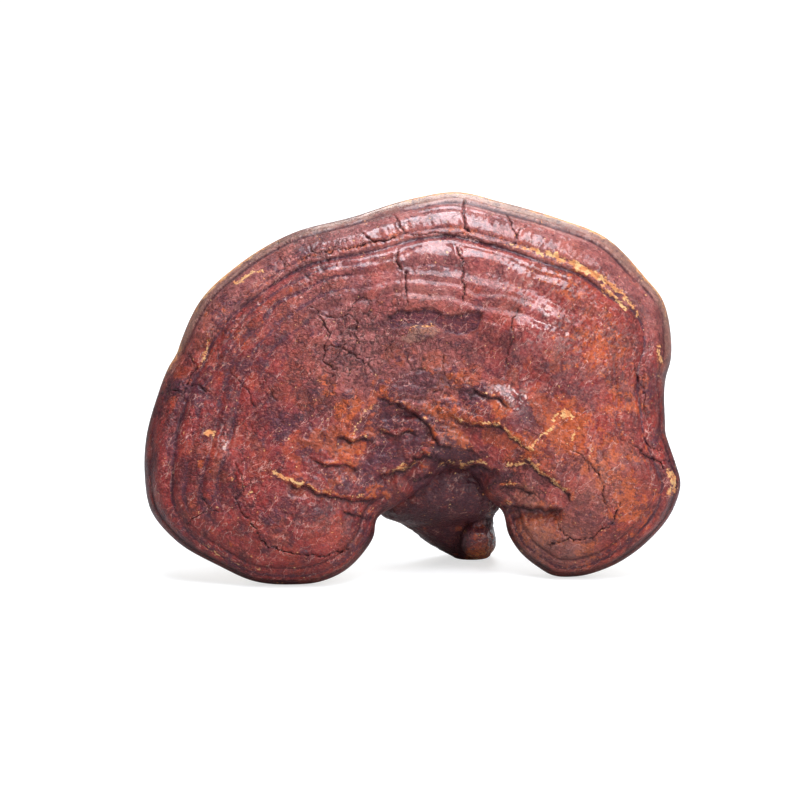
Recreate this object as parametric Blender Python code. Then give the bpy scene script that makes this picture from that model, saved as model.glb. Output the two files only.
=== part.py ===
"""A dried reishi mushroom: a kidney-shaped, lacquered cap with growth ridges, and its short stem.

The cap is drawn on its own plane, in drawing millimetres: across to the right, up from the two lobes to the
far margin, and forward out of the lacquered side. It leans back, and stands on its two lobes and on the flat
cut of the stem behind them.
"""

import math

import bmesh
import bpy
import numpy as np
from mathutils import Vector
from mathutils.geometry import delaunay_2d_cdt

# Driving dimensions, in metres; everything else is drawn in millimetres and scaled by them
CAP_WIDTH = 0.1400
CAP_LEAN = math.radians(15.5)
JOINT_GAP = 0.0003  # between the cap and the stem

# The margin of the cap, clockwise from the notch's left corner
MARGIN = (
    # across, up, forward, width of the outer growth band
    (-9.3, 15.9, 2.0, 1.6),
    (-10.2, 11.4, 2.0, 2.0),
    (-13.2, 6.6, 3.0, 2.0),
    (-17.9, 2.1, 4.0, 2.0),
    (-24.0, -0.6, 4.0, 2.0),
    (-31.8, -1.4, 4.0, 1.8),  # the left lobe's foot
    (-41.2, -0.6, 4.0, 1.8),
    (-50.7, 3.5, 4.0, 2.4),
    (-62.3, 10.4, 3.0, 4.0),
    (-68.6, 18.0, 2.0, 6.6),
    (-70.5, 28.1, 1.0, 8.0),
    (-70.2, 37.4, 0.0, 8.2),
    (-67.5, 48.2, -1.0, 8.8),
    (-64.3, 56.6, -1.0, 8.6),
    (-62.3, 60.0, -1.0, 8.4),  # a dent
    (-61.2, 63.2, -1.0, 8.6),
    (-55.9, 74.3, -1.0, 10.4),
    (-46.3, 83.4, -1.0, 11.2),
    (-32.0, 91.9, -1.0, 11.0),
    (-15.8, 96.2, 0.0, 11.6),
    (-0.7, 100.9, 0.0, 12.6),
    (12.3, 102.8, 0.0, 14.0),
    (23.4, 100.2, 0.0, 13.8),
    (38.3, 95.9, 0.0, 14.2),
    (51.1, 90.7, 0.0, 14.0),
    (61.8, 80.0, -1.0, 11.8),
    (65.8, 75.0, -1.0, 9.8),
    (68.3, 65.3, -1.0, 7.4),
    (68.2, 58.1, 0.0, 7.6),
    (66.9, 53.3, 0.0, 8.0),
    (66.6, 41.3, 1.0, 6.5),  # a nick
    (66.7, 38.6, 1.0, 6.4),
    (67.4, 36.2, 1.0, 6.2),
    (69.2, 31.0, 0.5, 5.8),
    (70.6, 25.5, 0.0, 5.3),
    (69.0, 19.4, -1.0, 4.4),
    (61.8, 10.1, -2.0, 3.4),
    (51.4, 3.4, -4.0, 2.4),
    (43.0, 1.2, -5.0, 2.0),  # the right lobe's foot
    (36.8, 1.6, -5.0, 2.2),
    (32.7, 4.0, -5.0, 2.2),
    (28.5, 7.6, -5.0, 2.2),
    (25.4, 12.3, -4.0, 2.1),
    (23.6, 18.2, -1.0, 1.8),  # the notch's right corner
    (19.6, 21.7, 2.0, 1.2),
    (17.0, 26.0, 5.0, 1.0),
    (14.2, 28.6, 6.0, 1.0),  # the ledge over the stem
    (9.3, 28.7, 6.0, 1.0),
    (3.8, 24.6, 5.0, 1.0),
    (-4.1, 19.5, 3.0, 1.2),
)
MARGIN_SAMPLES = 900  # along the margin, for measuring how deep a point lies inside it

# The cap's two sides
DOME_RISE = 15.0
DOME_EASE = 13.0  # the depth at which the dome has gained most of its rise
EDGE_THIN = 2.4  # rounding of the margin where the outer band is narrow
EDGE_THICK = 4.6  # and where it is wide
WIDE_BAND = 12.0
UNDER_EDGE = 4.2
ROOT_PLACE = (8.0, 34.0)
ROOT_SWELL = 4.0
ROOT_SPREAD = 15.0

# Growth ridges of the outer band: how deep and how broad, as shares of the band's width; how high
BAND_GROWTH = (
    (0.28, 0.06, -0.5),  # the lip's groove
    (0.60, 0.20, 1.3),  # the outer roll
    (1.00, 0.10, -2.4),  # the main furrow
)
# Growth ridges further in: how far past the main furrow, how broad, how high
INNER_GROWTH = (
    (2.9, 1.6, 1.0),
    (6.4, 0.8, -0.8),
    (8.1, 0.9, 0.5),
    (9.9, 0.8, -0.6),
    (13.0, 0.8, -0.4),
)

# Broad lumps and hollows: across, up, spread, height
LUMPS = (
    (24, 37, 11, 1.6),  # the shoulder beside the stem
    (-32, 12, 12, 1.2),  # the left lobe's pillow
    (45, 15, 11, 1.3),  # the right lobe's pillow
    (-14, 35, 9, -1.6),
    (-45, 38, 9, -1.0),
    (-44, 62, 10, 0.9),
    (-18, 62, 9, -0.8),
    (4, 80, 10, 0.7),
    (34, 66, 12, 0.9),
    (52, 44, 9, -1.0),
)

# Folds of the skin, whose upper side stands over the lower: rise, drop, how far both reach, and the line
LEDGES = (
    (1.4, 2.2, 7.0, ((-7.5, 45.5), (-2, 44), (2.5, 41), (5, 39.5), (4, 37), (6.5, 34), (9, 31.5))),
    (1.2, 2.0, 5.0, ((-8.5, 27), (-4.5, 27.5), (-0.5, 28.5), (1.5, 30.5), (4, 31.5), (7, 31.5))),
    (0.8, 1.2, 6.0, ((-34, 25), (-30.5, 23.5), (-26.5, 23), (-24.5, 21.5), (-17.5, 20.5), (-7, 20.8))),
    (1.0, 3.2, 4.0, ((23.5, 19.4), (28, 19.2), (35, 18.5), (39.5, 18.1))),  # over the right lobe
    (0.7, 0.9, 6.0, ((27, 32), (31.5, 29), (35.5, 25.5), (41, 21.5), (42, 18))),
    (0.5, 0.8, 5.0, ((9.5, 42), (14.5, 39), (21.5, 39.5), (24, 38.5), (29.5, 34), (32.5, 32))),
)
LEDGE_HALF_WIDTH = 0.7

# Cracks: depth, half-width and the line
CRACKS = (
    (1.2, 0.8, ((14, 100.5), (13.5, 91.5), (12, 85), (13.5, 82), (13, 71))),
    (1.0, 0.8, ((-14.5, 91.5), (-10, 88), (-6, 88), (-4, 89.5))),
    (1.0, 0.8, ((-3.5, 87), (-4.5, 82.5), (-1.5, 79), (-2, 75), (-1, 70))),
    (0.9, 0.8, ((-29.5, 72), (-24.5, 69), (-21.5, 63.5), (-23, 60.5), (-22.5, 53.5), (-18.5, 53))),
    (1.3, 0.9, ((-66, 49.5), (-59.5, 48.5), (-53, 48))),
    (0.9, 0.7, ((-46, 22), (-45, 17), (-42, 13.5), (-37.5, 8), (-34, 7), (-24, 5.5), (-13.5, 8))),
    (0.9, 0.7, ((54.5, 21), (54, 18), (49.5, 13.5), (47.5, 11), (41, 10.3), (37, 9), (33.5, 10))),
)

# A shallow pit in the middle, under the growth rings
PIT_DROP = 1.1
PIT_EDGE = 1.0
PIT = (
    (-6.5, 66.5), (-1, 69.5), (8, 68.5), (16.5, 69.5), (18.5, 68),
    (16, 63.5), (9, 63), (5.5, 65.5), (-6, 64),
)

# Mesh of the cap: rows at shares of the outer band, then rows past it, closer together where it is thin
CAP_COLUMNS = 116
BAND_ROWS = (0.02, 0.08, 0.18, 0.28, 0.42, 0.60, 0.80, 0.91, 1.0)
INNER_ROWS = (1.2, 2.9, 4.7, 6.4, 8.1, 9.9, 11.4, 13.0)
UNDER_ROWS = (0.05, 0.2, 0.5, 1.0)
THIN_BAND = 2.0
THIN_CLOSING = 0.35
TOP_SPACING = 4.0
UNDER_SPACING = 6.0
FOLD_SPACING = 2.5
FOLD_CLEAR = 0.5

# The stem, ring by ring from the flat cut that it stands on
STEM = (
    # height, across, back, half-width, half-depth
    (0.0, 15.9, 31.0, 4.6, 4.0),
    (0.6, 15.8, 30.9, 5.4, 4.8),
    (2.2, 14.6, 30.0, 6.9, 5.8),
    (4.0, 13.4, 28.0, 8.1, 6.4),
    (6.0, 12.1, 25.9, 9.2, 6.9),
    (9.0, 10.6, 23.0, 10.3, 6.6),
    (12.0, 8.6, 20.0, 12.1, 6.0),
    (14.0, 6.8, 17.5, 14.4, 7.6),
    (17.0, 6.6, 14.8, 16.2, 9.2),
    (21.0, 7.4, 12.9, 16.4, 10.0),
    (25.0, 8.2, 12.2, 14.6, 9.9),
    (28.5, 8.5, 12.2, 12.0, 9.3),
    (32.0, 8.5, 12.8, 9.5, 7.4),
    (34.5, 8.5, 13.0, 7.5, 5.0),
    (37.0, 8.5, 12.8, 5.0, 2.6),
)
STEM_SQUARE = 0.78  # below 1, the rings above the foot are fuller than ellipses
KNOBS = (
    # across, height, spreads across and up, push forward
    (18.0, 6.5, 3.8, 4.2, 3.6),  # the knob at its end
    (18.0, 12.3, 5.0, 1.6, -2.2),  # the hollow over it
    (12.3, 5.0, 1.7, 5.5, -1.4),  # the crease beside it
    (4.0, 20.0, 5.0, 3.0, 0.6),
)
STEM_COLUMNS = 36

LACQUER = (0.33, 0.085, 0.055, 1.0)
STEM_BROWN = (0.10, 0.035, 0.028, 1.0)


def along_loop(rows, count):
    """Equal steps along the smooth closed curve through the rows, carrying every column of them."""
    rows = np.array(rows, float)
    after = np.roll(rows, -1, axis=0)
    gap_after = np.linalg.norm((after - rows)[:, :2], axis=1)[:, None]
    slope_after = (after - rows) / gap_after
    slope_before, gap_before = np.roll(slope_after, 1, axis=0), np.roll(gap_after, 1, axis=0)
    slope = (slope_before * gap_after + slope_after * gap_before) / (gap_before + gap_after)
    fine = []
    for start, end, leave, arrive, gap in zip(rows, after, slope, np.roll(slope, -1, axis=0), gap_after):
        t = np.linspace(0, 1, 40, endpoint=False)[:, None]
        ends = (2 * t**3 - 3 * t**2 + 1) * start + (3 * t**2 - 2 * t**3) * end
        fine.append(ends + gap * ((t**3 - 2 * t**2 + t) * leave + (t**3 - t**2) * arrive))
    fine = np.vstack(fine + [rows[:1]])
    steps = np.linalg.norm(np.diff(fine[:, :2], axis=0), axis=1)
    length = np.concatenate([[0], np.cumsum(steps)])
    places = np.linspace(0, length[-1], count, endpoint=False)
    return np.stack([np.interp(places, length, column) for column in fine.T], axis=1)


def inward(loop):
    """Unit directions into the cap, for a loop that runs clockwise."""
    run = np.roll(loop, -1, axis=0) - np.roll(loop, 1, axis=0)
    side = np.stack([run[:, 1], -run[:, 0]], axis=1)
    return side / np.linalg.norm(side, axis=1)[:, None]


def ease(low, high, value):
    t = np.clip((value - low) / (high - low), 0, 1)
    return t * t * (3 - 2 * t)


def inside(points, loop):
    """Which points lie within the loop, by counting the crossings of a line to the right."""
    start, end = loop, np.roll(loop, -1, axis=0)
    hits = np.zeros(len(points), bool)
    for (ax, ay), (bx, by) in zip(start, end):
        spans = (ay > points[:, 1]) != (by > points[:, 1])
        crossing = ax + (points[:, 1] - ay) * (bx - ax) / (by - ay if by != ay else 1)
        hits ^= spans & (points[:, 0] < crossing)
    return hits


class Depths:
    """How deep points lie inside the margin, with the margin's band and forward set spread over the cap."""

    def __init__(self, points):
        margin = along_loop(MARGIN, MARGIN_SAMPLES)
        step = np.linalg.norm(margin[1, :2] - margin[0, :2])
        self.plain, self.soft, self.band, self.forward = (np.empty(len(points)) for _ in range(4))
        for first in range(0, len(points), 4000):
            some = slice(first, first + 4000)
            away = np.linalg.norm(points[some, None, :] - margin[None, :, :2], axis=2)
            away = np.maximum(away, 1e-3)
            nearest = away.min(axis=1)
            pull = away**-3
            total = pull.sum(axis=1)
            close_pull = (nearest[:, None] / away) ** 8
            self.plain[some] = nearest
            self.soft[some] = np.sqrt(2 / (step * total))
            self.forward[some] = pull @ margin[:, 2] / total
            self.band[some] = close_pull @ margin[:, 3] / close_pull.sum(axis=1)

    def know(self, depth):
        """Puts the exact depth on the first points, which were set out by it."""
        self.plain[: len(depth)] = depth
        near = ease(0.5, 2.0, self.plain)
        self.soft = self.plain + (self.soft - self.plain) * near


def rounding(depth, radius):
    """The height of a quarter-round edge at a depth in from it."""
    rest = 1 - np.clip(depth / radius, 0, 1)
    return radius * np.sqrt(1 - rest**2)


def beside(points, line):
    """Signed distance from a line of points, positive on its left, and the share of the line passed."""
    line = np.array(line, float)
    lengths = np.linalg.norm(np.diff(line, axis=0), axis=1)
    passed = np.concatenate([[0], np.cumsum(lengths)])
    best = np.full(len(points), np.inf)
    share = np.zeros(len(points))
    side = np.ones(len(points))
    for start, run, length, before in zip(line[:-1], np.diff(line, axis=0), lengths, passed):
        t = np.clip((points - start) @ run / length**2, 0, 1)
        offset = points - start - t[:, None] * run
        away = np.linalg.norm(offset, axis=1)
        nearer = away < best
        best[nearer] = away[nearer]
        share[nearer] = (before + t[nearer] * length) / passed[-1]
        turn = run[0] * offset[:, 1] - run[1] * offset[:, 0]
        side[nearer] = np.where(turn[nearer] >= 0, 1, -1)
    return best * side, share


def growth(depths):
    share = depths.plain / depths.band
    past = depths.plain - depths.band
    rings = np.zeros(len(share))
    for measure, ridges in ((share, BAND_GROWTH), (past, INNER_GROWTH)):
        for place, spread, height in ridges:
            rings += height * np.exp(-(((measure - place) / spread) ** 2))
    return rings * (depths.band / WIDE_BAND) ** 0.7


def folds(points):
    height = np.zeros(len(points))
    for rise, drop, reach, line in LEDGES:
        away, share = beside(points, line)
        ends = ease(0, 0.15, share) * ease(0, 0.15, 1 - share)
        over = ease(-LEDGE_HALF_WIDTH, LEDGE_HALF_WIDTH, away)
        height += ends * (over * rise - (1 - over) * drop) * np.exp(-((away / reach) ** 2))
    for depth, half_width, line in CRACKS:
        away, share = beside(points, line)
        ends = ease(0, 0.12, share) * ease(0, 0.12, 1 - share)
        height -= ends * depth * ease(half_width, 0, np.abs(away))
    edge = np.abs(beside(points, PIT + PIT[:1])[0])
    height -= PIT_DROP * ease(0, PIT_EDGE, edge) * inside(points, np.array(PIT, float))
    return height


def lumps(points):
    height = np.zeros(len(points))
    for across, up, spread, rise in LUMPS:
        height += rise * np.exp(-((points - (across, up)) ** 2).sum(axis=1) / spread**2)
    return height


def top_height(points, depths):
    edge = EDGE_THIN + (EDGE_THICK - EDGE_THIN) * ease(2, WIDE_BAND, depths.band)
    dome = DOME_RISE * (1 - np.exp(-depths.soft / DOME_EASE))
    relief = (growth(depths) + folds(points) + lumps(points)) * ease(0, 1.5, depths.plain)
    return depths.forward + rounding(depths.plain, edge) + dome + relief


def under_height(points, depths):
    to_root = np.linalg.norm(points - ROOT_PLACE, axis=1)
    swell = ROOT_SWELL * np.exp(-((to_root / ROOT_SPREAD) ** 2)) * ease(0, 8, depths.plain)
    return depths.forward - rounding(depths.plain, UNDER_EDGE) - swell


def fold_points():
    """Rows of points on both sides of each fold and crack, and just within and without the pit."""
    rows = [(line, LEDGE_HALF_WIDTH, (-1, 1)) for rise, drop, reach, line in LEDGES]
    rows += [(line, half_width, (-1, 0, 1)) for depth, half_width, line in CRACKS]
    rows.append((PIT + PIT[:1], PIT_EDGE, (0, 1)))
    points = []
    for line, half_width, sides in rows:
        line = np.array(line, float)
        for start, end in zip(line[:-1], line[1:]):
            run = end - start
            length = np.linalg.norm(run)
            across = np.array([-run[1], run[0]]) / length
            count = max(1, round(length / FOLD_SPACING))
            for share in (np.arange(count) + 0.5) / count:
                points += [start + run * share + across * half_width * side for side in sides]
    return np.array(points)


def thinned(points, kept, gap):
    """The points that lie clear of the kept ones and of each other."""
    result = list(kept)
    for point in points:
        near = np.array(result) - point
        if (near**2).sum(axis=1).min() > gap**2:
            result.append(point)
    return np.array(result)


def side_points(margin, band_rows, inner_rows, spacing, fixed=()):
    """Rows that follow the margin, with fixed points and a lattice inside them, and the rows' depths."""
    band = margin[:, 3]
    closing = THIN_CLOSING + (1 - THIN_CLOSING) * ease(THIN_BAND, WIDE_BAND, band)
    rows = [share * band for share in (0.0,) + band_rows] + [band + past * closing for past in inner_rows]
    into = inward(margin[:, :2])
    depth = np.concatenate(rows)
    rim = np.vstack([margin[:, :2] + into * row[:, None] for row in rows])
    low, high = margin[:, :2].min(axis=0), margin[:, :2].max(axis=0)
    lattice = []
    for index, up in enumerate(np.arange(low[1], high[1], spacing * math.sqrt(0.75))):
        across = np.arange(low[0] + spacing / 2 * (index % 2), high[0], spacing)
        lattice.append(np.stack([across, np.full(len(across), up)], axis=1))
    lattice = np.vstack(lattice)
    inner = rim[-len(margin) :]
    points = rim
    if len(fixed):
        points = thinned(fixed[inside(fixed, inner)], points, FOLD_CLEAR)
    return thinned(lattice[inside(lattice, inner)], points, spacing * 0.6), depth


def skin(points, columns):
    """Triangles over the points, inside the loop that the first of them make."""
    result = delaunay_2d_cdt([Vector(point) for point in points], [], [list(range(columns))], 1, 1e-6)
    order = [sources[0] for sources in result[3]]
    return [[order[corner] for corner in face] for face in result[2]]


def stand(points):
    """Points of the cap's plane as it leans back: across, back and up."""
    across, up, forward = points.T
    lean_sin, lean_cos = math.sin(CAP_LEAN), math.cos(CAP_LEAN)
    return np.stack([across, up * lean_sin - forward * lean_cos, up * lean_cos + forward * lean_sin], axis=1)


def cap_shell():
    """Corners and triangles of the closed cap, standing on its lobes, in drawing millimetres."""
    margin = along_loop(MARGIN, CAP_COLUMNS)
    top, top_depth = side_points(margin, BAND_ROWS, INNER_ROWS, TOP_SPACING, fold_points())
    under, under_depth = side_points(margin, UNDER_ROWS, (), UNDER_SPACING)
    top_depths, under_depths = Depths(top), Depths(under)
    top_depths.know(top_depth)
    under_depths.know(under_depth)
    top_corners = np.column_stack([top, top_height(top, top_depths)])
    under_corners = np.column_stack([under, under_height(under, under_depths)])
    shift = len(top) - CAP_COLUMNS
    faces = skin(top, CAP_COLUMNS)
    for face in skin(under, CAP_COLUMNS):
        faces.append([corner if corner < CAP_COLUMNS else corner + shift for corner in reversed(face)])
    corners = stand(np.vstack([top_corners, under_corners[CAP_COLUMNS:]]))
    corners[:, 2] -= corners[:, 2].min()
    return corners, faces


def stem_ring(height, across, back, half_width, half_depth):
    """Corners of one ring of the stem, with the knobs pushed out of its front."""
    turns = np.linspace(0, 2 * math.pi, STEM_COLUMNS, endpoint=False)
    square = 1 + (STEM_SQUARE - 1) * ease(1, 12, height)
    along, behind = (np.sign(way) * np.abs(way) ** square for way in (np.cos(turns), np.sin(turns)))
    x = across + half_width * along
    push = np.zeros(STEM_COLUMNS)
    for knob_across, knob_height, wide, tall, forward in KNOBS:
        push += forward * np.exp(-(((x - knob_across) / wide) ** 2) - ((height - knob_height) / tall) ** 2)
    push *= ease(0.3, -0.6, behind) * ease(0.2, 1.5, height)
    return np.stack([x, back + half_depth * behind - push, np.full(STEM_COLUMNS, height)], axis=1)


def stem_shell():
    """Corners and faces of the stem, from its flat cut to its root inside the cap."""
    corners = np.vstack([stem_ring(*row) for row in STEM])
    faces = [list(reversed(range(STEM_COLUMNS)))]
    for ring in range(len(STEM) - 1):
        for column in range(STEM_COLUMNS):
            a = ring * STEM_COLUMNS + column
            b = ring * STEM_COLUMNS + (column + 1) % STEM_COLUMNS
            faces.append([a, b, b + STEM_COLUMNS, a + STEM_COLUMNS])
    faces.append(list(range((len(STEM) - 1) * STEM_COLUMNS, len(STEM) * STEM_COLUMNS)))
    return corners, faces


def finish(name, colour, roughness):
    material = bpy.data.materials.new(name)
    material.use_nodes = True
    shader = material.node_tree.nodes["Principled BSDF"]
    shader.inputs["Base Color"].default_value = colour
    shader.inputs["Roughness"].default_value = roughness
    shader.inputs["Metallic"].default_value = 0.0
    return material


def add_object(name, corners, faces, material):
    mesh = bpy.data.meshes.new(name)
    mesh.from_pydata([tuple(corner) for corner in corners], [], faces)
    mesh.materials.append(material)
    mesh.shade_smooth()
    thing = bpy.data.objects.new(name, mesh)
    bpy.context.scene.collection.objects.link(thing)
    return thing


def cut_clear(stem, cap):
    """Cuts the cap, swollen by the joint's gap, out of the stem."""
    mesh = cap.data.copy()
    shell = bmesh.new()
    shell.from_mesh(mesh)
    shell.normal_update()
    for corner in shell.verts:
        corner.co += corner.normal * JOINT_GAP
    shell.to_mesh(mesh)
    shell.free()
    guide = bpy.data.objects.new("cap_clearance", mesh)
    bpy.context.scene.collection.objects.link(guide)
    guide.hide_render = True
    guide.display_type = "WIRE"
    cut = stem.modifiers.new("clear_of_cap", "BOOLEAN")
    cut.operation = "DIFFERENCE"
    cut.object = guide


def main():
    for thing in list(bpy.data.objects):
        bpy.data.objects.remove(thing)
    cap_corners, cap_faces = cap_shell()
    stem_corners, stem_faces = stem_shell()
    everything = np.vstack([cap_corners, stem_corners])
    low, high = everything.min(axis=0), everything.max(axis=0)
    scale = CAP_WIDTH / np.ptp(cap_corners[:, 0])
    origin = np.array([(low[0] + high[0]) / 2, (low[1] + high[1]) / 2, 0.0])
    cap_finish = finish("lacquered_cap", LACQUER, 0.3)
    stem_finish = finish("dark_stem", STEM_BROWN, 0.45)
    cap = add_object("cap", (cap_corners - origin) * scale, cap_faces, cap_finish)
    stem = add_object("stem", (stem_corners - origin) * scale, stem_faces, stem_finish)
    cut_clear(stem, cap)


main()
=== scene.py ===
"""Looks of the dried reishi mushroom: the lacquered, ridged cap with its pale pore side, and the dark stem.

The cap is drawn on its own plane, in drawing millimetres: across to the right, up from the two lobes to the
far margin, and forward out of the lacquered side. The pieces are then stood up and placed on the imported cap.
"""

import math

import bpy
import numpy as np
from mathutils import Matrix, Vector, kdtree, noise
from mathutils.geometry import delaunay_2d_cdt


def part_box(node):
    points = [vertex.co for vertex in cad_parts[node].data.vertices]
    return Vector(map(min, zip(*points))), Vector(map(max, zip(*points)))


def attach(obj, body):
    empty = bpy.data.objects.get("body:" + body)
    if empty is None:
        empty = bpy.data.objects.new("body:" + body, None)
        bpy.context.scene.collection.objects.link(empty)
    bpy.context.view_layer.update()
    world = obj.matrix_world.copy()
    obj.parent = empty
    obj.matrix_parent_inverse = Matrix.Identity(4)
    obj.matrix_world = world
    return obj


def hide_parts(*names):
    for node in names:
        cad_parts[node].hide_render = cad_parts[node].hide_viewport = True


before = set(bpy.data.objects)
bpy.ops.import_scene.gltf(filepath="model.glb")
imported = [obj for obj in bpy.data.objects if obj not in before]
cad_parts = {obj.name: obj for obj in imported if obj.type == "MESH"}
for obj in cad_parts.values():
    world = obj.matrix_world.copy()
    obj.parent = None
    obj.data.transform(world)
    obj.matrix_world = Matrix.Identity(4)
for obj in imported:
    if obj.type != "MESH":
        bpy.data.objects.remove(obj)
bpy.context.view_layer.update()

# ---------------------------------------------------------------- the cap's forms, as the solids have them

CAP_LEAN = math.radians(15.5)

MARGIN = (
    # across, up, forward, width of the outer growth band; clockwise from the notch's left corner
    (-9.3, 15.9, 2.0, 1.6),
    (-10.2, 11.4, 2.0, 2.0),
    (-13.2, 6.6, 3.0, 2.0),
    (-17.9, 2.1, 4.0, 2.0),
    (-24.0, -0.6, 4.0, 2.0),
    (-31.8, -1.4, 4.0, 1.8),  # the left lobe's foot
    (-41.2, -0.6, 4.0, 1.8),
    (-50.7, 3.5, 4.0, 2.4),
    (-62.3, 10.4, 3.0, 4.0),
    (-68.6, 18.0, 2.0, 6.6),
    (-70.5, 28.1, 1.0, 8.0),
    (-70.2, 37.4, 0.0, 8.2),
    (-67.5, 48.2, -1.0, 8.8),
    (-64.3, 56.6, -1.0, 8.6),
    (-62.3, 60.0, -1.0, 8.4),  # a dent
    (-61.2, 63.2, -1.0, 8.6),
    (-55.9, 74.3, -1.0, 10.4),
    (-46.3, 83.4, -1.0, 11.2),
    (-32.0, 91.9, -1.0, 11.0),
    (-15.8, 96.2, 0.0, 11.6),
    (-0.7, 100.9, 0.0, 12.6),
    (12.3, 102.8, 0.0, 14.0),
    (23.4, 100.2, 0.0, 13.8),
    (38.3, 95.9, 0.0, 14.2),
    (51.1, 90.7, 0.0, 14.0),
    (61.8, 80.0, -1.0, 11.8),
    (65.8, 75.0, -1.0, 9.8),
    (68.3, 65.3, -1.0, 7.4),
    (68.2, 58.1, 0.0, 7.6),
    (66.9, 53.3, 0.0, 8.0),
    (66.6, 41.3, 1.0, 6.5),  # a nick
    (66.7, 38.6, 1.0, 6.4),
    (67.4, 36.2, 1.0, 6.2),
    (69.2, 31.0, 0.5, 5.8),
    (70.6, 25.5, 0.0, 5.3),
    (69.0, 19.4, -1.0, 4.4),
    (61.8, 10.1, -2.0, 3.4),
    (51.4, 3.4, -4.0, 2.4),
    (43.0, 1.2, -5.0, 2.0),  # the right lobe's foot
    (36.8, 1.6, -5.0, 2.2),
    (32.7, 4.0, -5.0, 2.2),
    (28.5, 7.6, -5.0, 2.2),
    (25.4, 12.3, -4.0, 2.1),
    (23.6, 18.2, -1.0, 1.8),  # the notch's right corner
    (19.6, 21.7, 1.0, 1.2),
    (17.0, 26.0, 3.0, 1.0),
    (14.2, 28.6, 3.4, 1.0),  # where it curves back into the stem
    (9.3, 28.7, 3.4, 1.0),
    (3.8, 24.6, 3.0, 1.0),
    (-4.1, 19.5, 2.4, 1.2),
)
COLUMNS = 900  # points along the margin

DOME_RISE = 15.0
DOME_EASE = 13.0
EDGE_THIN = 2.4
EDGE_THICK = 4.6
WIDE_BAND = 12.0
UNDER_EDGE = 4.2
NECK_ROUND = 3.0  # the edge is that much rounder over the stem
ROOT_PLACE = (8.0, 34.0)
ROOT_SWELL = 4.0
ROOT_SPREAD = 15.0
UNDER_WAVES = (0.22, 6.5)  # height and pitch of the pore side's rings
UNDER_DENTS = (0.35, 9)  # height and size
ZONE_PITCH = 1.1  # of its colour rings, in millimetres for each radian

# The groove of a thin lip: the band's widths where it begins and is full, its place past the band, its height
THIN_LIP = (5.0, 2.6, 2.0, -0.5)
THIN_LIP_GROOVE = 0.42

BAND_GROWTH = (
    # growth ridges of the outer band: place and breadth as shares of its width, height, how dark
    (0.12, 0.02, -0.15, 0.3),
    (0.19, 0.02, -0.2, 0.35),
    (0.28, 0.035, -1.2, 0.8),  # the lip's groove
    (0.43, 0.02, -0.2, 0.2),
    (0.60, 0.23, 1.0, 0.0),  # the outer roll
    (0.83, 0.02, -0.3, 0.0),
)
PAINTED_ROLL_SHADE = (0.84, 0.08)  # place and breadth of the painted shade under the roll, a brown line on its downward face, as shares of the band
FURROW = (-0.95, 0.03, 0.06)  # height, and its spread towards the roll and towards the middle
FURROW_WIDENS = 1.3
BOLD_FURROW_AREAS = (
    (-66, 30, 22, 1.0), (66, 24, 9, 1.0), (62, 12, 10, 1.0), (52, 4, 8, 0.9), (56, 84, 10, 0.4),
)
FINEST_GROOVE = 0.38
INNER_GROWTH = (
    # growth ridges further in: how far past the main furrow, how broad, how high
    (2.9, 1.7, 0.75),
    (6.2, 0.6, -0.35),
    (8.1, 1.1, 0.25),
    (10.0, 0.6, -0.35),
    (13.2, 0.6, -0.25),
)
RIPPLE_HEIGHT = 0.6
RIPPLE_PITCH = (1.5, 0.085)  # millimetres, plus a share of the band's width
WIDER_PITCH = 1.3  # on the left flank
RIPPLES_END = 19.0
NECK_AREAS = ((-2, 20, 5, 1.0), (8, 27, 9, 1.0), (18, 23, 5, 1.0))  # where the margin's bands fade out
NO_RIPPLE_AREAS = ((8, 24, 20, 1.0), (33, 67, 6, 0.8))

LUMPS = (
    # across, up, spread, height
    (24, 37, 11, 1.6),  # the shoulder beside the stem
    (-32, 12, 12, 1.2),  # the left lobe's pillow
    (45, 15, 11, 1.3),  # the right lobe's pillow
    (-14, 35, 9, -1.6),
    (-45, 38, 9, -1.0),
    (-44, 62, 10, 0.9),
    (-18, 62, 9, -0.8),
    (4, 80, 10, 0.7),
    (29, 62, 8, 2.0),
    (26, 42.5, 5, 0.9),
    (21, 45, 5, 0.8),
    (-50, 31.5, 5, 0.9),
    (52, 44, 9, -1.0),
)

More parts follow.
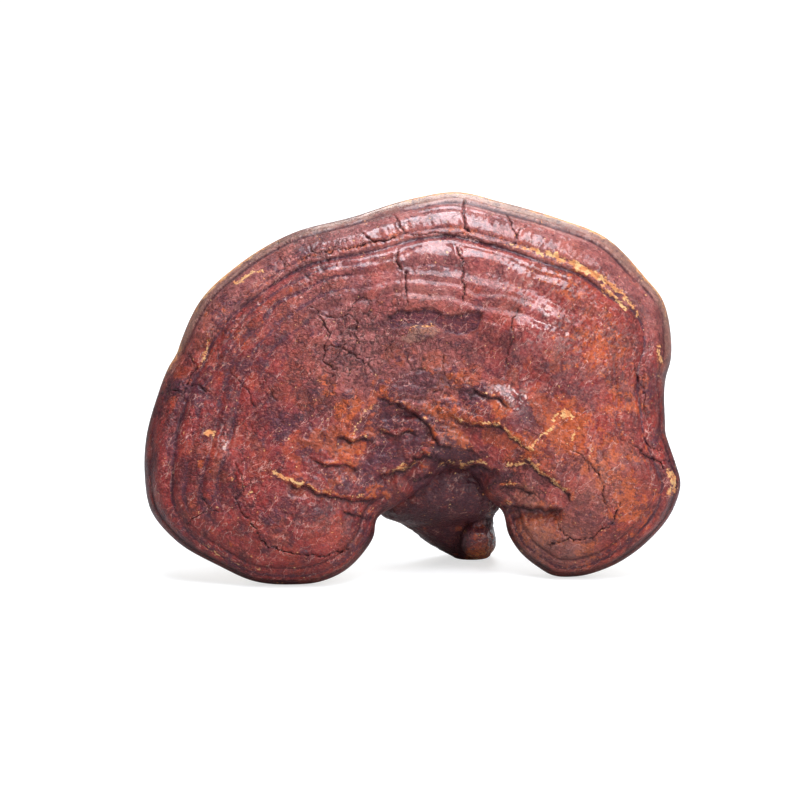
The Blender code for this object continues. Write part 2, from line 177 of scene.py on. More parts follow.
LEDGE_HALF_WIDTH = 0.3
BRINK = (0.6, 0.5)  # how far above a ledge's line its brink lies, and how broad it is
LEDGE_FADE = 0.15  # the share of the line over which it fades at each end
CRACK_FADE = 0.12
CRACK_LIP = 0.16  # how high a crack's lips stand, as a share of its depth
LEDGES = (
    # rise above the line, drop below it, how far both reach, and the line
    (0.7, 0.9, 6.0, ((-10.6, 47.8), (-6.9, 45.9), (-1.8, 44.2), (1.4, 42), (4.8, 39.2), (4.9, 37.2),
                     (7.2, 34.6), (11.1, 34), (15, 33.2), (18.4, 31.8))),
    (1.0, 1.8, 5.0, ((-10.6, 24.5), (-8.6, 27), (-4.6, 27.7), (-1.0, 28.9), (0.6, 31.1), (3.3, 32.2),
                     (5.9, 31.6), (9, 29.7), (12.9, 28.8), (17.6, 29.4), (21.5, 28.4), (24.1, 26.2))),
    (0.7, 0.9, 5.0, ((-34.1, 25.1), (-30.7, 23.7), (-26.6, 23), (-24.5, 21.7), (-17.6, 20.5), (-7, 20.8))),
    (1.0, 3.2, 4.0, ((22.4, 19.6), (28.1, 19.2), (34.9, 18.6), (39.5, 18.1))),
    (0.45, 0.6, 5.0, ((27.1, 31.9), (31.4, 29), (35.4, 25.7), (38.7, 23.7), (40.9, 21.5), (42.1, 18.9))),
    (0.5, 0.8, 5.0, ((9.5, 42), (12.8, 40), (14.4, 39.3), (21.4, 39.4), (24, 37.8), (29.7, 33.6),
                     (32.4, 31.9))),
    (0.5, 0.7, 3.0, ((-0.5, 25.8), (3, 26.7), (6.4, 27.1))),
    (0.4, 0.7, 3.0, ((-18.9, 17.2), (-14.2, 16.7), (-9.6, 16))),
    (0.5, 0.6, 3.0, ((-9, 38), (-4.5, 37.2), (-1, 38), (2, 36.4))),
    (0.5, 0.6, 3.0, ((15, 49.5), (18.5, 47.2), (22.5, 46.3), (26, 43.5))),
    (0.5, 0.5, 3.0, ((-20.5, 37), (-16.5, 35.4), (-12.6, 36.2), (-9.4, 34.8))),
    (0.4, 0.6, 2.5, ((21.5, 23.2), (25, 24.2), (28.5, 23.6), (32.5, 22.4))),
    (0.4, 0.5, 3.0, ((-27, 30.5), (-22, 29), (-17, 29.3), (-13, 27.6))),
)

CRACKS = (
    # depth, half-width and the line
    (1.02, 0.3, ((13.8, 100.7), (13.6, 95), (13.7, 91.6), (16.4, 90))),
    (0.85, 0.27, ((10.9, 87.5), (11.9, 85.1), (13.4, 82.1), (13.2, 74.8), (13.2, 70.4))),
    (0.85, 0.27, ((-14.6, 91.7), (-9.9, 88.1), (-6.2, 88.1), (-3.8, 89.6))),
    (0.85, 0.27, ((-5.3, 96.5), (-3.4, 92), (-1.5, 90))),
    (0.77, 0.27, ((24.7, 95.9), (27.2, 89.5), (26.2, 86.5))),
    (0.59, 0.22, ((29.9, 92.4), (27.2, 89.5))),
    (0.51, 0.22, ((-3.3, 90), (1.9, 89.6), (7, 90), (13.3, 89.7), (17.9, 87.9), (23.6, 86.3))),
    (0.51, 0.22, ((-30.5, 82.4), (-28.8, 83.3), (-26.5, 85.3), (-24.6, 85), (-23.3, 85.5), (-21, 84.9),
                  (-20.1, 86.4), (-17.1, 85.7), (-15.6, 86.4), (-13, 86.9), (-10.6, 88), (-9.4, 88.6))),
    (0.42, 0.22, ((-27.6, 88.8), (-27.2, 87), (-26.7, 85.4))),
    (0.42, 0.22, ((-19.2, 89.2), (-19.9, 87.6), (-20.1, 86))),
    (0.85, 0.3, ((-3.7, 87), (-4.7, 82.4), (-1.7, 79.1), (-2.1, 74.8), (-1.1, 70.1))),
    (0.77, 0.27, ((-29.3, 71.8), (-24.6, 68.9), (-22.6, 65.2), (-21.6, 63.5), (-23, 60.4), (-23.3, 56.1),
                  (-18.6, 53))),
    (0.51, 0.22, ((-19.3, 63.1), (-17.8, 60.4), (-19, 58.1), (-21.6, 54.8))),
    (0.42, 0.22, ((-8, 58.5), (-6, 60.4), (-4.7, 61.7))),
    (0.42, 0.22, ((-11.3, 64.7), (-10.7, 66.8), (-9.4, 68.1))),
    (0.68, 0.25, ((-61.2, 59.9), (-58.6, 58), (-56.4, 56.1))),
    (0.77, 0.31, ((-66.2, 48.6), (-62.5, 49.8), (-60, 48.6), (-58.4, 50.5), (-56, 50.2), (-52.5, 48.0))),
    (0.59, 0.23, ((-58.6, 50.2), (-57.8, 53.5), (-55.6, 55.4))),
    (0.51, 0.23, ((-46.8, 52.9), (-43.2, 49), (-42, 45.4), (-40.2, 43.6))),
    (0.42, 0.22, ((-39.6, 52.9), (-37.4, 49.4), (-35.6, 45.2))),
    (0.51, 0.23, ((-24.6, 68.9), (-20.4, 67.2), (-16.8, 68.4), (-14.2, 66), (-15.2, 62.6), (-12, 60.2))),
    (0.42, 0.22, ((-16.8, 68.4), (-15.6, 71.5), (-12.6, 72.8))),
    (0.51, 0.23, ((-23, 60.4), (-19.2, 59.6), (-15.6, 57.6), (-11.8, 55.4), (-9.6, 52.2))),
    (0.42, 0.22, ((-46.2, 30), (-44.4, 26.2), (-43.8, 22.6), (-45.6, 20.2), (-46, 21.9))),
    (0.51, 0.23, ((-54.9, 21.6), (-53.4, 18.4), (-50.4, 16.9), (-48.4, 17.4))),
    (0.42, 0.22, ((8.4, 58.2), (7.8, 54.6), (9.2, 51.2))),
    (0.42, 0.22, ((-1.2, 59.4), (-1.6, 56.2), (0.2, 53.4))),
    (0.51, 0.22, ((27.8, 70.8), (25.6, 66.4), (26.4, 62.2), (24.2, 57.4), (25, 53.6))),
    (0.51, 0.22, ((41.5, 33.2), (44.6, 31), (46.2, 27.6))),
    (0.51, 0.22, ((-59.3, 14), (-56.1, 15.7), (-52.9, 17.4))),
    (0.77, 0.25, ((-46, 21.9), (-45, 16.8), (-41.8, 13.6), (-37.7, 8.1), (-34, 6.8), (-24.2, 5.4),
                  (-13.6, 8.1))),
    (0.77, 0.25, ((54.5, 21), (54.2, 18.2), (52.4, 15.3), (47.3, 11), (41.1, 10.3), (37.1, 9), (33.4, 9.9))),
    (0.51, 0.22, ((36.6, 16.4), (38.8, 12.8), (41.8, 10.3))),
    (0.59, 0.22, ((44.9, 30.7), (47.8, 27.5), (49.4, 24.2), (50.5, 18.5))),
    (0.68, 0.22, ((65.2, 30.9), (67.5, 30.6), (69.5, 30.4))),
    (0.94, 0.31, ((57.5, 35), (59.8, 32.7), (62.4, 31.2), (64.9, 30.4), (65.6, 27.6))),
    (0.51, 0.22, ((59.9, 37.6), (61.6, 34.6), (64.6, 33.4), (66.4, 35.4))),
    (0.51, 0.23, ((57.8, 56.4), (58.6, 52.6), (60.8, 47.6), (60.9, 42))),
)

# The shallow pit above the middle, and the peeling flake in it
PIT_DROP = 1.1
PIT_EDGE = 0.45
PIT = (
    (-6.7, 66.4), (-4, 69.1), (-1.2, 69.5), (5.3, 69.9), (8.2, 68.1), (12.1, 68.1), (16.5, 69.4),
    (18.5, 68.4), (16.2, 63.4), (9.2, 62.9), (7.1, 64.4), (5.3, 65.7), (-0.1, 65), (-6.1, 64.1),
)
FLAKE_RISE = 0.35
FLAKE_EDGE = 0.4
OUTLINE_WIDTH = 0.4  # of the dark line round pit and flake
FLAKE = ((5.8, 65.1), (7.6, 63.1), (3.9, 61.8), (-0.1, 60.2), (-4, 61.4), (-1.1, 63.4), (-0.1, 64.7))

# ---------------------------------------------------------------- fine relief and tones of the cap

WANDER_SIZE = 14  # of the broad noise that growth lines waver by
SHAKE_SIZE = 2.4  # of the noise that drawn lines waver by
SHAKE_REACH = 0.7
BLUR_REACH = 2.5  # how far the borders of soft areas waver

WRINKLES = (
    # size, height, share of the height that is only in the rough middle
    (6.5, 0.8, 0.6),
    (3.0, 0.4, 0.45),
    (1.5, 0.16, 0.3),
)
ROUGH_AREAS = (
    # across, up, spread, strength
    (2, 39, 19, 1.0),
    (-22, 32, 13, 0.6),
    (32, 38, 17, 0.7),
    (5, 25, 14, 0.9),
    (64, 50, 7, 0.6),
    (66, 37, 6, 0.8),
    (-64, 50, 7, 0.5),
)
SMOOTH_AREAS = (
    (52, 28, 18, 0.8), (6, 67, 7, 0.8), (-45, 15, 14, 0.5), (14, 93, 20, 0.75), (-10, 89, 14, 0.7),
    (33, 68, 6, 0.95), (37, 79, 4, 0.8), (26, 47, 5, 0.8),
)
CRACKLE_AREAS = (
    (-14, 60, 12, 1.0), (-22, 52, 9, 0.8), (5, 50, 12, 0.6), (-48, 30, 10, 0.4), (-30, 86, 12, 0.7),
    (-52, 72, 10, 0.6), (-64, 48, 8, 0.6), (26, 26, 8, 0.7),
)
CRACKLE_SIZE = 4.2
CRACKLE_DEPTH = 0.3
FLOW_AREAS = (
    # across, up, spread, turn of the creases there in degrees
    (18, 42, 14, -33),
    (38, 34, 14, -38),
    (-2, 46, 12, 18),
    (-24, 26, 14, -4),
    (-10, 38, 10, 25),
    (5, 30, 10, 12),
    (30, 22, 10, -8),
)
FLOW_CREASES = (
    # size, height
    (3.8, 1.5),
    (1.6, 0.4),
)
STREAK_AREAS = ((47, 34, 14, 0.9), (36, 72, 15, 1.0), (50, 56, 14, 0.8), (30, 52, 12, 0.6), (50, 34, 12, 0.5))
STREAK_TURN = math.radians(57)
STREAK_SIZE = (7.0, 0.9)  # length, breadth
STREAK_HEIGHT = 0.6
RIB_HEIGHT = 0.09  # of the fine ribs across the outer band

# Where each tone lies: across, up, spread, strength
EMBER_AREAS = (
    (-16.5, 44, 4.5, 1.0), (-17, 33.3, 4, 0.9), (-8, 50, 4, 0.5), (8.5, 43, 4.5, 1.0), (11, 35.6, 3.5, 0.9),
    (23.5, 43.4, 3.5, 0.9), (40, 38.5, 8, 1.0), (31, 34, 6, 0.7), (50, 30, 13, 0.6), (56, 20, 10, 0.7),
    (48, 60, 12, 0.6), (40, 78, 9, 0.5), (54, 46, 8, 0.6), (-50, 66, 12, 0.35), (-53, 31, 5, 0.4),
    # (33, 14) and (46, 8) lighten the right lobe as painted light
    (12, 51, 5, 0.6), (-22, 50, 5, 0.5), (6, 26.5, 3, 0.6), (33, 14, 8, 0.7), (46, 8, 8, 0.5),
    (-8, 23, 4, 0.5),
)
# Painted light on the right lobe, whose surface faces down, away from the lamps
PAINTED_LIGHT_AREAS = ((33, 9, 6, 0.55), (42, 7, 6, 0.4), (30, 20, 4, 0.4), (48, 24, 8, 0.25))
# Painted shade: where the cap's edge overhangs the stem, and along the left lobe's foot
SHADE_AREAS = (
    (11, 24.5, 7.5, 1.0), (11, 30, 5, 0.6), (5, 23, 5, 0.7), (16, 26, 4, 0.7), (-26, 1.5, 9, 0.45),
)
ASHEN_BAND = 0.9
ASHEN_AREAS = (
    (-14, 58, 14, 1.0), (4, 56, 14, 0.8), (-20, 72, 14, 0.8), (3, 78, 14, 0.9), (24, 78, 10, 0.6),
    # (30, 22) and (40, 11) lighten the right lobe as painted light
    (30, 22, 8, 0.4), (40, 11, 8, 0.6),
)
DUSK_AREAS = (
    (-6, 41.5, 6.5, 0.9), (-8, 33, 5.5, 0.8), (2, 36, 6, 0.7), (9, 32, 5, 1.0), (62, 48, 6, 0.5),
    # (9.5, 25.5) is painted shade over the stem, where the cap's edge overhangs it
    (64, 38, 5, 0.5), (9.5, 25.5, 8.5, 1.5), (17, 46.5, 5, 0.8), (-12, 26, 6, 0.7), (6, 66, 9, 0.5),
    (-12, 57, 9, 0.35), (-34, 38, 7, 0.6), (-58, 48, 7, 0.7), (-64, 30, 9, 0.3), (-52, 20, 6, 0.6),
    (-40, 10, 12, 0.25), (56, 8, 8, 0.35), (30, 52, 8, 0.2), (68, 30, 5, 0.6), (50, 15, 1.6, 1.0),
)
GLOSS_AREAS = (
    (-24, 84, 9, 0.7), (-6, 90, 12, 1.0), (12, 90, 13, 1.0), (30, 84, 10, 0.9), (0, 78, 7, 0.5),
    (33, 67.5, 5.5, 1.3), (37, 79, 4.5, 1.3), (29, 60, 4, 0.9), (41, 61, 4, 0.8), (26, 47, 5, 1.3),
    (11, 36, 4, 0.6), (-50.5, 36, 4, 1.0), (-47, 66, 9, 0.4), (17, 9, 5, 0.7), (33, 16.5, 5, 0.9),
    (52, 60, 10, 0.3),
)
WORN_STREAKS = (
    # half-width, strength and the line
    (0.5, 1.0, ((29.2, 86.4), (31.2, 85.8), (35.3, 84.6), (39.5, 82.9), (43.2, 81.5), (47.8, 79.2),
                (52, 76.4))),
    (0.35, 0.9, ((46.5, 80.6), (50.4, 78.2), (54, 75.2), (57.5, 71.5), (60.2, 67.5))),
    (0.3, 0.9, ((49, 76.8), (53, 73), (56.4, 69.6))),
    (0.25, 0.8, ((24, 87.2), (28, 86.4), (31.2, 85.4))),
    (0.3, 0.9, ((-47.5, 77.2), (-44.5, 78.8), (-41, 80.5), (-39, 81.5))),
    (0.22, 0.8, ((9.5, 42.4), (14.4, 39.6), (20, 40.2), (23.5, 38.8), (26, 36.5), (30.5, 33.4),
                 (33.5, 32.4))),
    (0.22, 0.7, ((27.1, 32.3), (31.4, 29.4), (35.4, 26.1), (40.9, 21.9))),
    (0.3, 0.9, ((64.3, 62.5), (64.6, 59), (65.5, 56))),
    (0.15, 0.7, ((-4, 61.6), (-1.1, 63.6), (-0.1, 64.9), (5.8, 65.3), (7.6, 63.3))),
    (0.55, 1.0, ((38.5, 41.8), (40.5, 42.6), (42, 41))),
    (0.3, 0.9, ((36, 40), (38, 43))),
    (0.3, 0.9, ((33, 36), (36.5, 39.5))),
    (0.25, 0.9, ((41, 35.5), (43.8, 39.5))),
    (0.3, 0.9, ((30, 33.5), (33, 35.8))),
    (0.2, 0.6, ((45.5, 31), (47.5, 34.5))),
    (0.35, 0.9, ((67.2, 28.5), (68.6, 25.5), (68.2, 22.5))),
    (0.2, 0.7, ((49.2, 76.6), (50.4, 72.4), (50.8, 69))),
    (0.22, 0.9, ((23.5, 29), (28, 29.8), (33.5, 29.2))),
    (0.28, 1.0, ((-37, 28), (-35, 26.2), (-31, 24.6), (-27.5, 23.6))),
    (0.22, 0.8, ((-42.4, 22.4), (-41.4, 20.5), (-40.6, 19.4))),
    (0.4, 0.9, ((-54, 37), (-52.5, 38), (-51, 37.4))),
    (0.22, 0.8, ((-55.6, 54.5), (-54, 61), (-52.5, 63.5))),
    (0.35, 0.9, ((66.5, 29.5), (67.6, 26), (66.8, 21.5))),
    (0.18, 0.7, ((-16, 36.5), (-12, 43.5), (-9.6, 45.5))),
    (0.18, 0.8, ((5.5, 28.6), (9, 30.6), (14, 29.8), (17.8, 30.4), (22, 28.8))),
    (0.18, 0.7, ((-10.2, 27.6), (-5, 27.9), (-0.5, 29.0), (1.4, 31.0))),
    (0.22, 0.5, ((-56, 9.5), (-50, 5.5), (-45, 3.2), (-38, 1.6))),
)

RIM_WORN_AREAS = (
    (10, 104, 22, 0.9), (45, 96, 20, 1.0), (64, 80, 14, 0.9), (-50, 82, 22, 0.9), (-64, 60, 8, 0.8),
)

# How finely the cap is divided
TOP_STEP = 0.45
UNDER_STEP = 1.4
EDGE_STEPS = 9
LINE_STEP = 0.42
LINE_CLEAR = 0.24
HOLLOW_ROUNDS = 4  # of averaging, to find the hollows, where shade is painted in


def ease(low, high, value):
    t = np.clip((value - low) / (high - low), 0, 1)
    return t * t * (3 - 2 * t)


def along_loop(rows, count):
    """Equal steps along the smooth closed curve through the rows, carrying every column of them."""
    rows = np.array(rows, float)
    after = np.roll(rows, -1, axis=0)
    gap_after = np.linalg.norm((after - rows)[:, :2], axis=1)[:, None]
    slope_after = (after - rows) / gap_after
    slope_before, gap_before = np.roll(slope_after, 1, axis=0), np.roll(gap_after, 1, axis=0)
    slope = (slope_before * gap_after + slope_after * gap_before) / (gap_before + gap_after)
    fine = []
    for start, end, leave, arrive, gap in zip(rows, after, slope, np.roll(slope, -1, axis=0), gap_after):
        t = np.linspace(0, 1, 40, endpoint=False)[:, None]
        ends = (2 * t**3 - 3 * t**2 + 1) * start + (3 * t**2 - 2 * t**3) * end
        fine.append(ends + gap * ((t**3 - 2 * t**2 + t) * leave + (t**3 - t**2) * arrive))
    fine = np.vstack(fine + [rows[:1]])
    steps = np.linalg.norm(np.diff(fine[:, :2], axis=0), axis=1)
    length = np.concatenate([[0], np.cumsum(steps)])
    places = np.linspace(0, length[-1], count, endpoint=False)
    return np.stack([np.interp(places, length, column) for column in fine.T], axis=1)


def inward(loop):
    """Unit directions into the cap, for a loop that runs clockwise."""
    run = np.roll(loop, -1, axis=0) - np.roll(loop, 1, axis=0)
    side = np.stack([run[:, 1], -run[:, 0]], axis=1)
    return side / np.linalg.norm(side, axis=1)[:, None]


def inside(points, loop):
    """Which points lie within the loop, by counting the crossings of a line to the right."""
    start, end = loop, np.roll(loop, -1, axis=0)
    hits = np.zeros(len(points), bool)
    for (ax, ay), (bx, by) in zip(start, end):
        spans = (ay > points[:, 1]) != (by > points[:, 1])
        crossing = ax + (points[:, 1] - ay) * (bx - ax) / (by - ay if by != ay else 1)
        hits ^= spans & (points[:, 0] < crossing)
    return hits


class Depths:
    """How deep points lie inside the margin, and what the margin passes on to them."""

    def __init__(self, points, margin):
        step = np.linalg.norm(margin[1, :2] - margin[0, :2])
        self.plain, self.soft, self.band, self.forward, self.along = (np.empty(len(points)) for _ in range(5))
        for first in range(0, len(points), 3000):
            some = slice(first, first + 3000)
            square = (points[some, 0, None] - margin[:, 0]) ** 2 + (points[some, 1, None] - margin[:, 1]) ** 2
            square = np.maximum(square, 1e-6)
            nearest = square.min(axis=1)
            pull = 1 / (square * np.sqrt(square))
            total = pull.sum(axis=1)
            close = np.square(np.square(nearest[:, None] / square))
            self.plain[some] = np.sqrt(nearest)
            self.soft[some] = np.sqrt(2 / (step * total))
            self.forward[some] = pull @ margin[:, 2] / total
            self.band[some] = close @ margin[:, 3] / close.sum(axis=1)
            self.along[some] = square.argmin(axis=1) * step
        self.soft = self.plain + (self.soft - self.plain) * ease(0.5, 2.0, self.plain)
        self.past = self.plain - self.band
        self.ring = self.plain + (self.soft - self.plain) * ease(0, 9, self.past)


def beside(points, line, reach):
    """Signed distance from a line, positive on its left, and the share passed; far off is beyond reach."""
    line = np.array(line, float)
    lengths = np.linalg.norm(np.diff(line, axis=0), axis=1)
    passed = np.concatenate([[0], np.cumsum(lengths)])
    away_all = np.full(len(points), 1e3)
    share_all = np.zeros(len(points))
    near = ((points > line.min(axis=0) - reach) & (points < line.max(axis=0) + reach)).all(axis=1)
    some = points[near]
    best, share, side = np.full(len(some), np.inf), np.zeros(len(some)), np.ones(len(some))
    for start, run, length, before in zip(line[:-1], np.diff(line, axis=0), lengths, passed):
        t = np.clip((some - start) @ run / length**2, 0, 1)
        offset = some - start - t[:, None] * run
        away = np.linalg.norm(offset, axis=1)
        nearer = away < best
        best[nearer] = away[nearer]
        share[nearer] = (before + t[nearer] * length) / passed[-1]
        turn = run[0] * offset[:, 1] - run[1] * offset[:, 0]
        side[nearer] = np.where(turn[nearer] >= 0, 1, -1)
    away_all[near], share_all[near] = best * side, share
    return away_all, share_all


def clouds(points, size, octaves=3, seed=0.0, stretch=1.0):
    """Soft noise of about -1 to 1, whose lumps are about size across."""
    scaled = points / (size * stretch, size)
    return np.array([noise.fractal((x, y, seed), 0.8, 2.1, octaves) for x, y in scaled])


def cells(points, size, seed=0.0):
    """Irregular cells: 0 on their borders, growing towards their middles."""
    result = []
    for x, y in points / size:
        gaps = noise.voronoi((x, y, seed))[0]
        result.append(gaps[1] - gaps[0])
    return np.array(result)


def bell(distance, spread):
    """1 at no distance, falling off smoothly over the spread."""
    return np.exp(-((distance / spread) ** 2))


def near(points, across, up, spread):
    """A soft round area: 1 in its middle."""
    return np.exp(-((points - (across, up)) ** 2).sum(axis=1) / spread**2)


def areas(points, rows):
    """How strongly soft round areas cover the points."""
    cover = np.zeros(len(points))
    for across, up, spread, strength in rows:
        cover = np.maximum(cover, strength * near(points, across, up, spread))
    return cover


def shake(points):
    """Small shifts that make drawn lines waver as natural ones do."""
    return SHAKE_REACH * np.stack([clouds(points, SHAKE_SIZE, 3, seed) for seed in (11.7, 23.9)], axis=1)


def turned(points, turn):
    along = points[:, 0] * np.cos(turn) + points[:, 1] * np.sin(turn)
    return np.stack([along, points[:, 1] * np.cos(turn) - points[:, 0] * np.sin(turn)], axis=1)


def flowing(points):
    """The points, turned so that the creases of the rough middle run along the first axis."""
    turn, weight = np.zeros(len(points)), np.full(len(points), 0.02)
    for across, up, spread, degrees in FLOW_AREAS:
        close = near(points, across, up, spread)
        turn += close * math.radians(degrees)
        weight += close
    return turned(points, turn / weight)


def rounding(depth, radius):
    """The height of a quarter-round edge at a depth in from it."""
    rest = 1 - np.clip(depth / radius, 0, 1)
    return radius * np.sqrt(1 - rest**2)


def edge_radius(points, band):
    neck = NECK_ROUND * areas(points, NECK_AREAS)
    return EDGE_THIN + (EDGE_THICK - EDGE_THIN) * ease(2, WIDE_BAND, band) + neck


def growth(points, depths, wander):
    """The height of the growth ridges, from the outer band inwards."""
    rings = np.zeros(len(points))
    for place, spread, height, _ in BAND_GROWTH:
        width = np.maximum(spread * depths.band, FINEST_GROOVE)
        rings += height * bell(depths.plain - place * depths.band + 0.25 * wander, width)
    for place, spread, height in INNER_GROWTH:
        along = np.stack([depths.along / 4, np.full(len(points), place)], axis=1)
        uneven = 0.7 + 0.6 * clouds(along, 3.0, 2, 9.1)
        rings += height * uneven * bell(depths.ring - depths.band + 0.8 * wander - place, spread)
    rings += FURROW[0] * furrow(points, depths, wander)
    rings *= (1 - areas(points, NECK_AREAS)) * (depths.band / WIDE_BAND) ** 0.7
    return rings + THIN_LIP[3] * second_groove(points, depths, wander)


def second_groove(points, depths, wander):
    """A groove that follows the furrow along the thin lips of the lobes."""
    low, high, place, _ = THIN_LIP
    shown = ease(low, high, depths.band) * (1 - areas(points, NECK_AREAS))
    return shown * bell(depths.past + 0.3 * wander - place, THIN_LIP_GROOVE)


def furrow(points, depths, wander):
    """The main furrow: steep under the outer roll, gentle on its inner side, and fading here and there."""
    past = depths.past + 0.3 * wander
    inner = FURROW[2] * (1 + FURROW_WIDENS * areas(points, BOLD_FURROW_AREAS))
    width = np.maximum(np.where(past < 0, FURROW[1], inner) * depths.band, FINEST_GROOVE)
    deep = 0.72 + 0.28 * ease(-0.5, 0.3, wander)
    return deep * bell(past, width)


def ripples(points, depths, wander):
    """Fine growth lines: 0 in their narrow grooves and 1 on their crests; where they show; how strongly."""
    across, up = points.T
    pitch = RIPPLE_PITCH[0] + RIPPLE_PITCH[1] * depths.band
    pitch += WIDER_PITCH * ease(-25, -50, across) * ease(70, 45, up)
    past = depths.ring - depths.band
    crest = np.abs(np.sin(math.pi * (past + 1.1 * wander) / pitch)) ** 1.1
    gone = ease(RIPPLES_END * 0.3, RIPPLES_END, past + 5 * wander)
    shown = ease(0.3, 2.5, depths.past) * (1 - gone) * (1 - areas(points, NO_RIPPLE_AREAS))
    strength = 0.45 + np.maximum(0.55 * ease(-15, -35, across), 0.3 * ease(64, 76, up))
    return crest, shown, shown * strength * (0.3 + 0.7 * ease(10, 26, up))


def fade(share, length):
    """1 along a line, fading over a length at both of its ends."""
    return ease(0, length, share) * ease(0, length, 1 - share)


def within(points, loop, edge_width):
    """1 within a loop, eased over its edge; and 1 on the thin line of its edge."""
    away = np.abs(beside(points, loop + loop[:1], 30)[0])
    return ease(0, edge_width, away) * inside(points, np.array(loop)), ease(OUTLINE_WIDTH, 0.0, away)


def folds(points):
    """The height of ledges, cracks, pit and flake; and where cracks, pit, flake and brinks are."""
    height, crack, brink = (np.zeros(len(points)) for _ in range(3))
    for rise, drop, reach, line in LEDGES:
        away, share = beside(points, line, reach * 2.5)
        ends = fade(share, LEDGE_FADE)
        over = ease(-LEDGE_HALF_WIDTH, LEDGE_HALF_WIDTH, away)
        height += ends * (over * rise - (1 - over) * drop) * bell(away, reach)
        brink = np.maximum(brink, ends * bell(away - BRINK[0], BRINK[1]))
        # a dark line just below each ledge's line: partly the fold's split, partly painted shade under its
        # overhang
        crack = np.maximum(crack, 0.95 * ends * ease(0.55, 0.05, np.abs(away + 0.3)))
    for depth, half_width, line in CRACKS:
        away, share = beside(points, line, 4)
        ends = fade(share, CRACK_FADE)
        cut = ends * ease(half_width, 0, np.abs(away))
        lip = ends * bell(np.abs(away) - half_width * 1.7, 0.5)
        height += depth * (CRACK_LIP * lip - cut)
        crack = np.maximum(crack, cut)
    sunk, pit_line = within(points, PIT, PIT_EDGE)
    flake, flake_line = within(points, FLAKE, FLAKE_EDGE)
    height += FLAKE_RISE * flake - PIT_DROP * sunk
    return height, np.maximum.reduce([crack, 0.6 * pit_line, 0.5 * flake_line]), sunk, flake, brink


def lumps(points):
    return sum(rise * near(points, across, up, spread) for across, up, spread, rise in LUMPS)


class Look:
    """Where the lacquered side is rough, ringed, cracked, sunk or dark, at each of its points."""

    def __init__(self, points, depths):
        self.points, self.depths = points, depths
        self.wander = wander = clouds(points, WANDER_SIZE, 2, 3.1)
        self.shaken = points + shake(points)
        self.fold, self.crack, self.sunk, self.flake, self.brink = folds(self.shaken)
        self.crest, self.shown, self.ringed = ripples(points, depths, wander)
        self.calm = 1 - areas(points, SMOOTH_AREAS)
        self.rough = areas(points, ROUGH_AREAS) * self.calm
        self.on_band = 1 - ease(-1.0, 1.0, depths.past)
        self.neck = areas(points, NECK_AREAS)
        self.furrow = furrow(points, depths, wander)
        self.grain = [clouds(self.shaken, row[0], 2, 31.0 + index) for index, row in enumerate(WRINKLES)]
        self.ragged = 0.5 * sum(self.grain)
        self.blurred = points + BLUR_REACH * np.stack(self.grain[:2], axis=1)
        self.streaky = clouds(np.stack([depths.along / 9, depths.plain], axis=1), 0.9, 3, 6.6)
        # painted shade under the roll, on its downward face: a brown line, with less gloss there
        place, breadth = PAINTED_ROLL_SHADE
        foot = bell(depths.plain / depths.band - place + 0.05 * self.grain[1], breadth)
        self.under_roll = foot * ease(60, 78, points[:, 1])


def wrinkles(look):
    """The height of wrinkles and creases, and how creased the skin is."""
    height, creased = np.zeros(len(look.points)), np.zeros(len(look.points))
    for field, (_, rise, only_rough) in zip(look.grain, WRINKLES):
        strength = (1 - only_rough + only_rough * look.rough) * look.calm
        height += rise * strength * (np.abs(field) ** 0.8 - 0.3)
        creased = np.maximum(creased, strength * ease(0.09, 0.0, np.abs(field)))
    flow = flowing(look.shaken)
    for index, (size, rise) in enumerate(FLOW_CREASES):
        field = clouds(flow, size, 3, 51.0 + index, 3.0)
        height += rise * look.rough * (np.abs(field) ** 0.75 - 0.3)
        creased = np.maximum(creased, look.rough * ease(0.10, 0.0, np.abs(field)))
    return height, creased


def fine_relief(look):
    """The height of all that is finer than the folds; how creased the skin is; and the crackle's lines."""
    points, depths = look.points, look.depths
    height, creased = wrinkles(look)
    height += RIPPLE_HEIGHT * (look.crest - 0.6) * look.ringed

    plates = cells(look.shaken + 0.9 * np.stack(look.grain[1:], axis=1), CRACKLE_SIZE, 4.4)
    split = ease(0.07, 0.0, plates) * ease(0.2, 0.6, areas(points, CRACKLE_AREAS) + 0.5 * look.grain[0])
    height -= CRACKLE_DEPTH * split

    long, thin = STREAK_SIZE
    streaks = clouds(turned(points, STREAK_TURN) + look.wander[:, None] * (0, 2.0), thin, 3, 8.2, long / thin)
    height += STREAK_HEIGHT * streaks * areas(points, STREAK_AREAS) * look.calm

    ribs = clouds(np.stack([depths.along, depths.plain], axis=1), 4.0, 3, 5.5, 0.16)
    ribbed = look.on_band * ease(0.25, 0.5, depths.plain / depths.band) + 0.35 * look.shown
    return height + RIB_HEIGHT * ribs * ribbed, creased, split


def ember_tone(look):
    """Where the lacquer is orange: in soft areas, on ripples of both flanks, and on brinks; on the brinks
    partly as a painted highlight along the folds' lit edges, under the roll as painted shade, and in two areas
    of the right lobe as painted light.
    """
    across, grain = look.points[:, 0], look.grain
    ember = areas(look.blurred, EMBER_AREAS)
    ember *= ease(-0.5, 0.3, look.ragged + ember)
    flank = ease(-8, -35, across) + 0.4 * ease(15, 40, across)
    rippled = flank * look.shown * ease(0.3, 0.9, look.crest) * ease(-0.2, 0.4, look.wander + grain[1])
    # along the brinks: partly a painted highlight on the folds' lit edges, partly their orange
    brinks = look.brink * ease(-0.4, 0.2, grain[0] + grain[1])
    return np.maximum.reduce([ember, 0.45 * look.flake, 0.3 * rippled, 0.85 * brinks, 0.4 * look.under_roll])


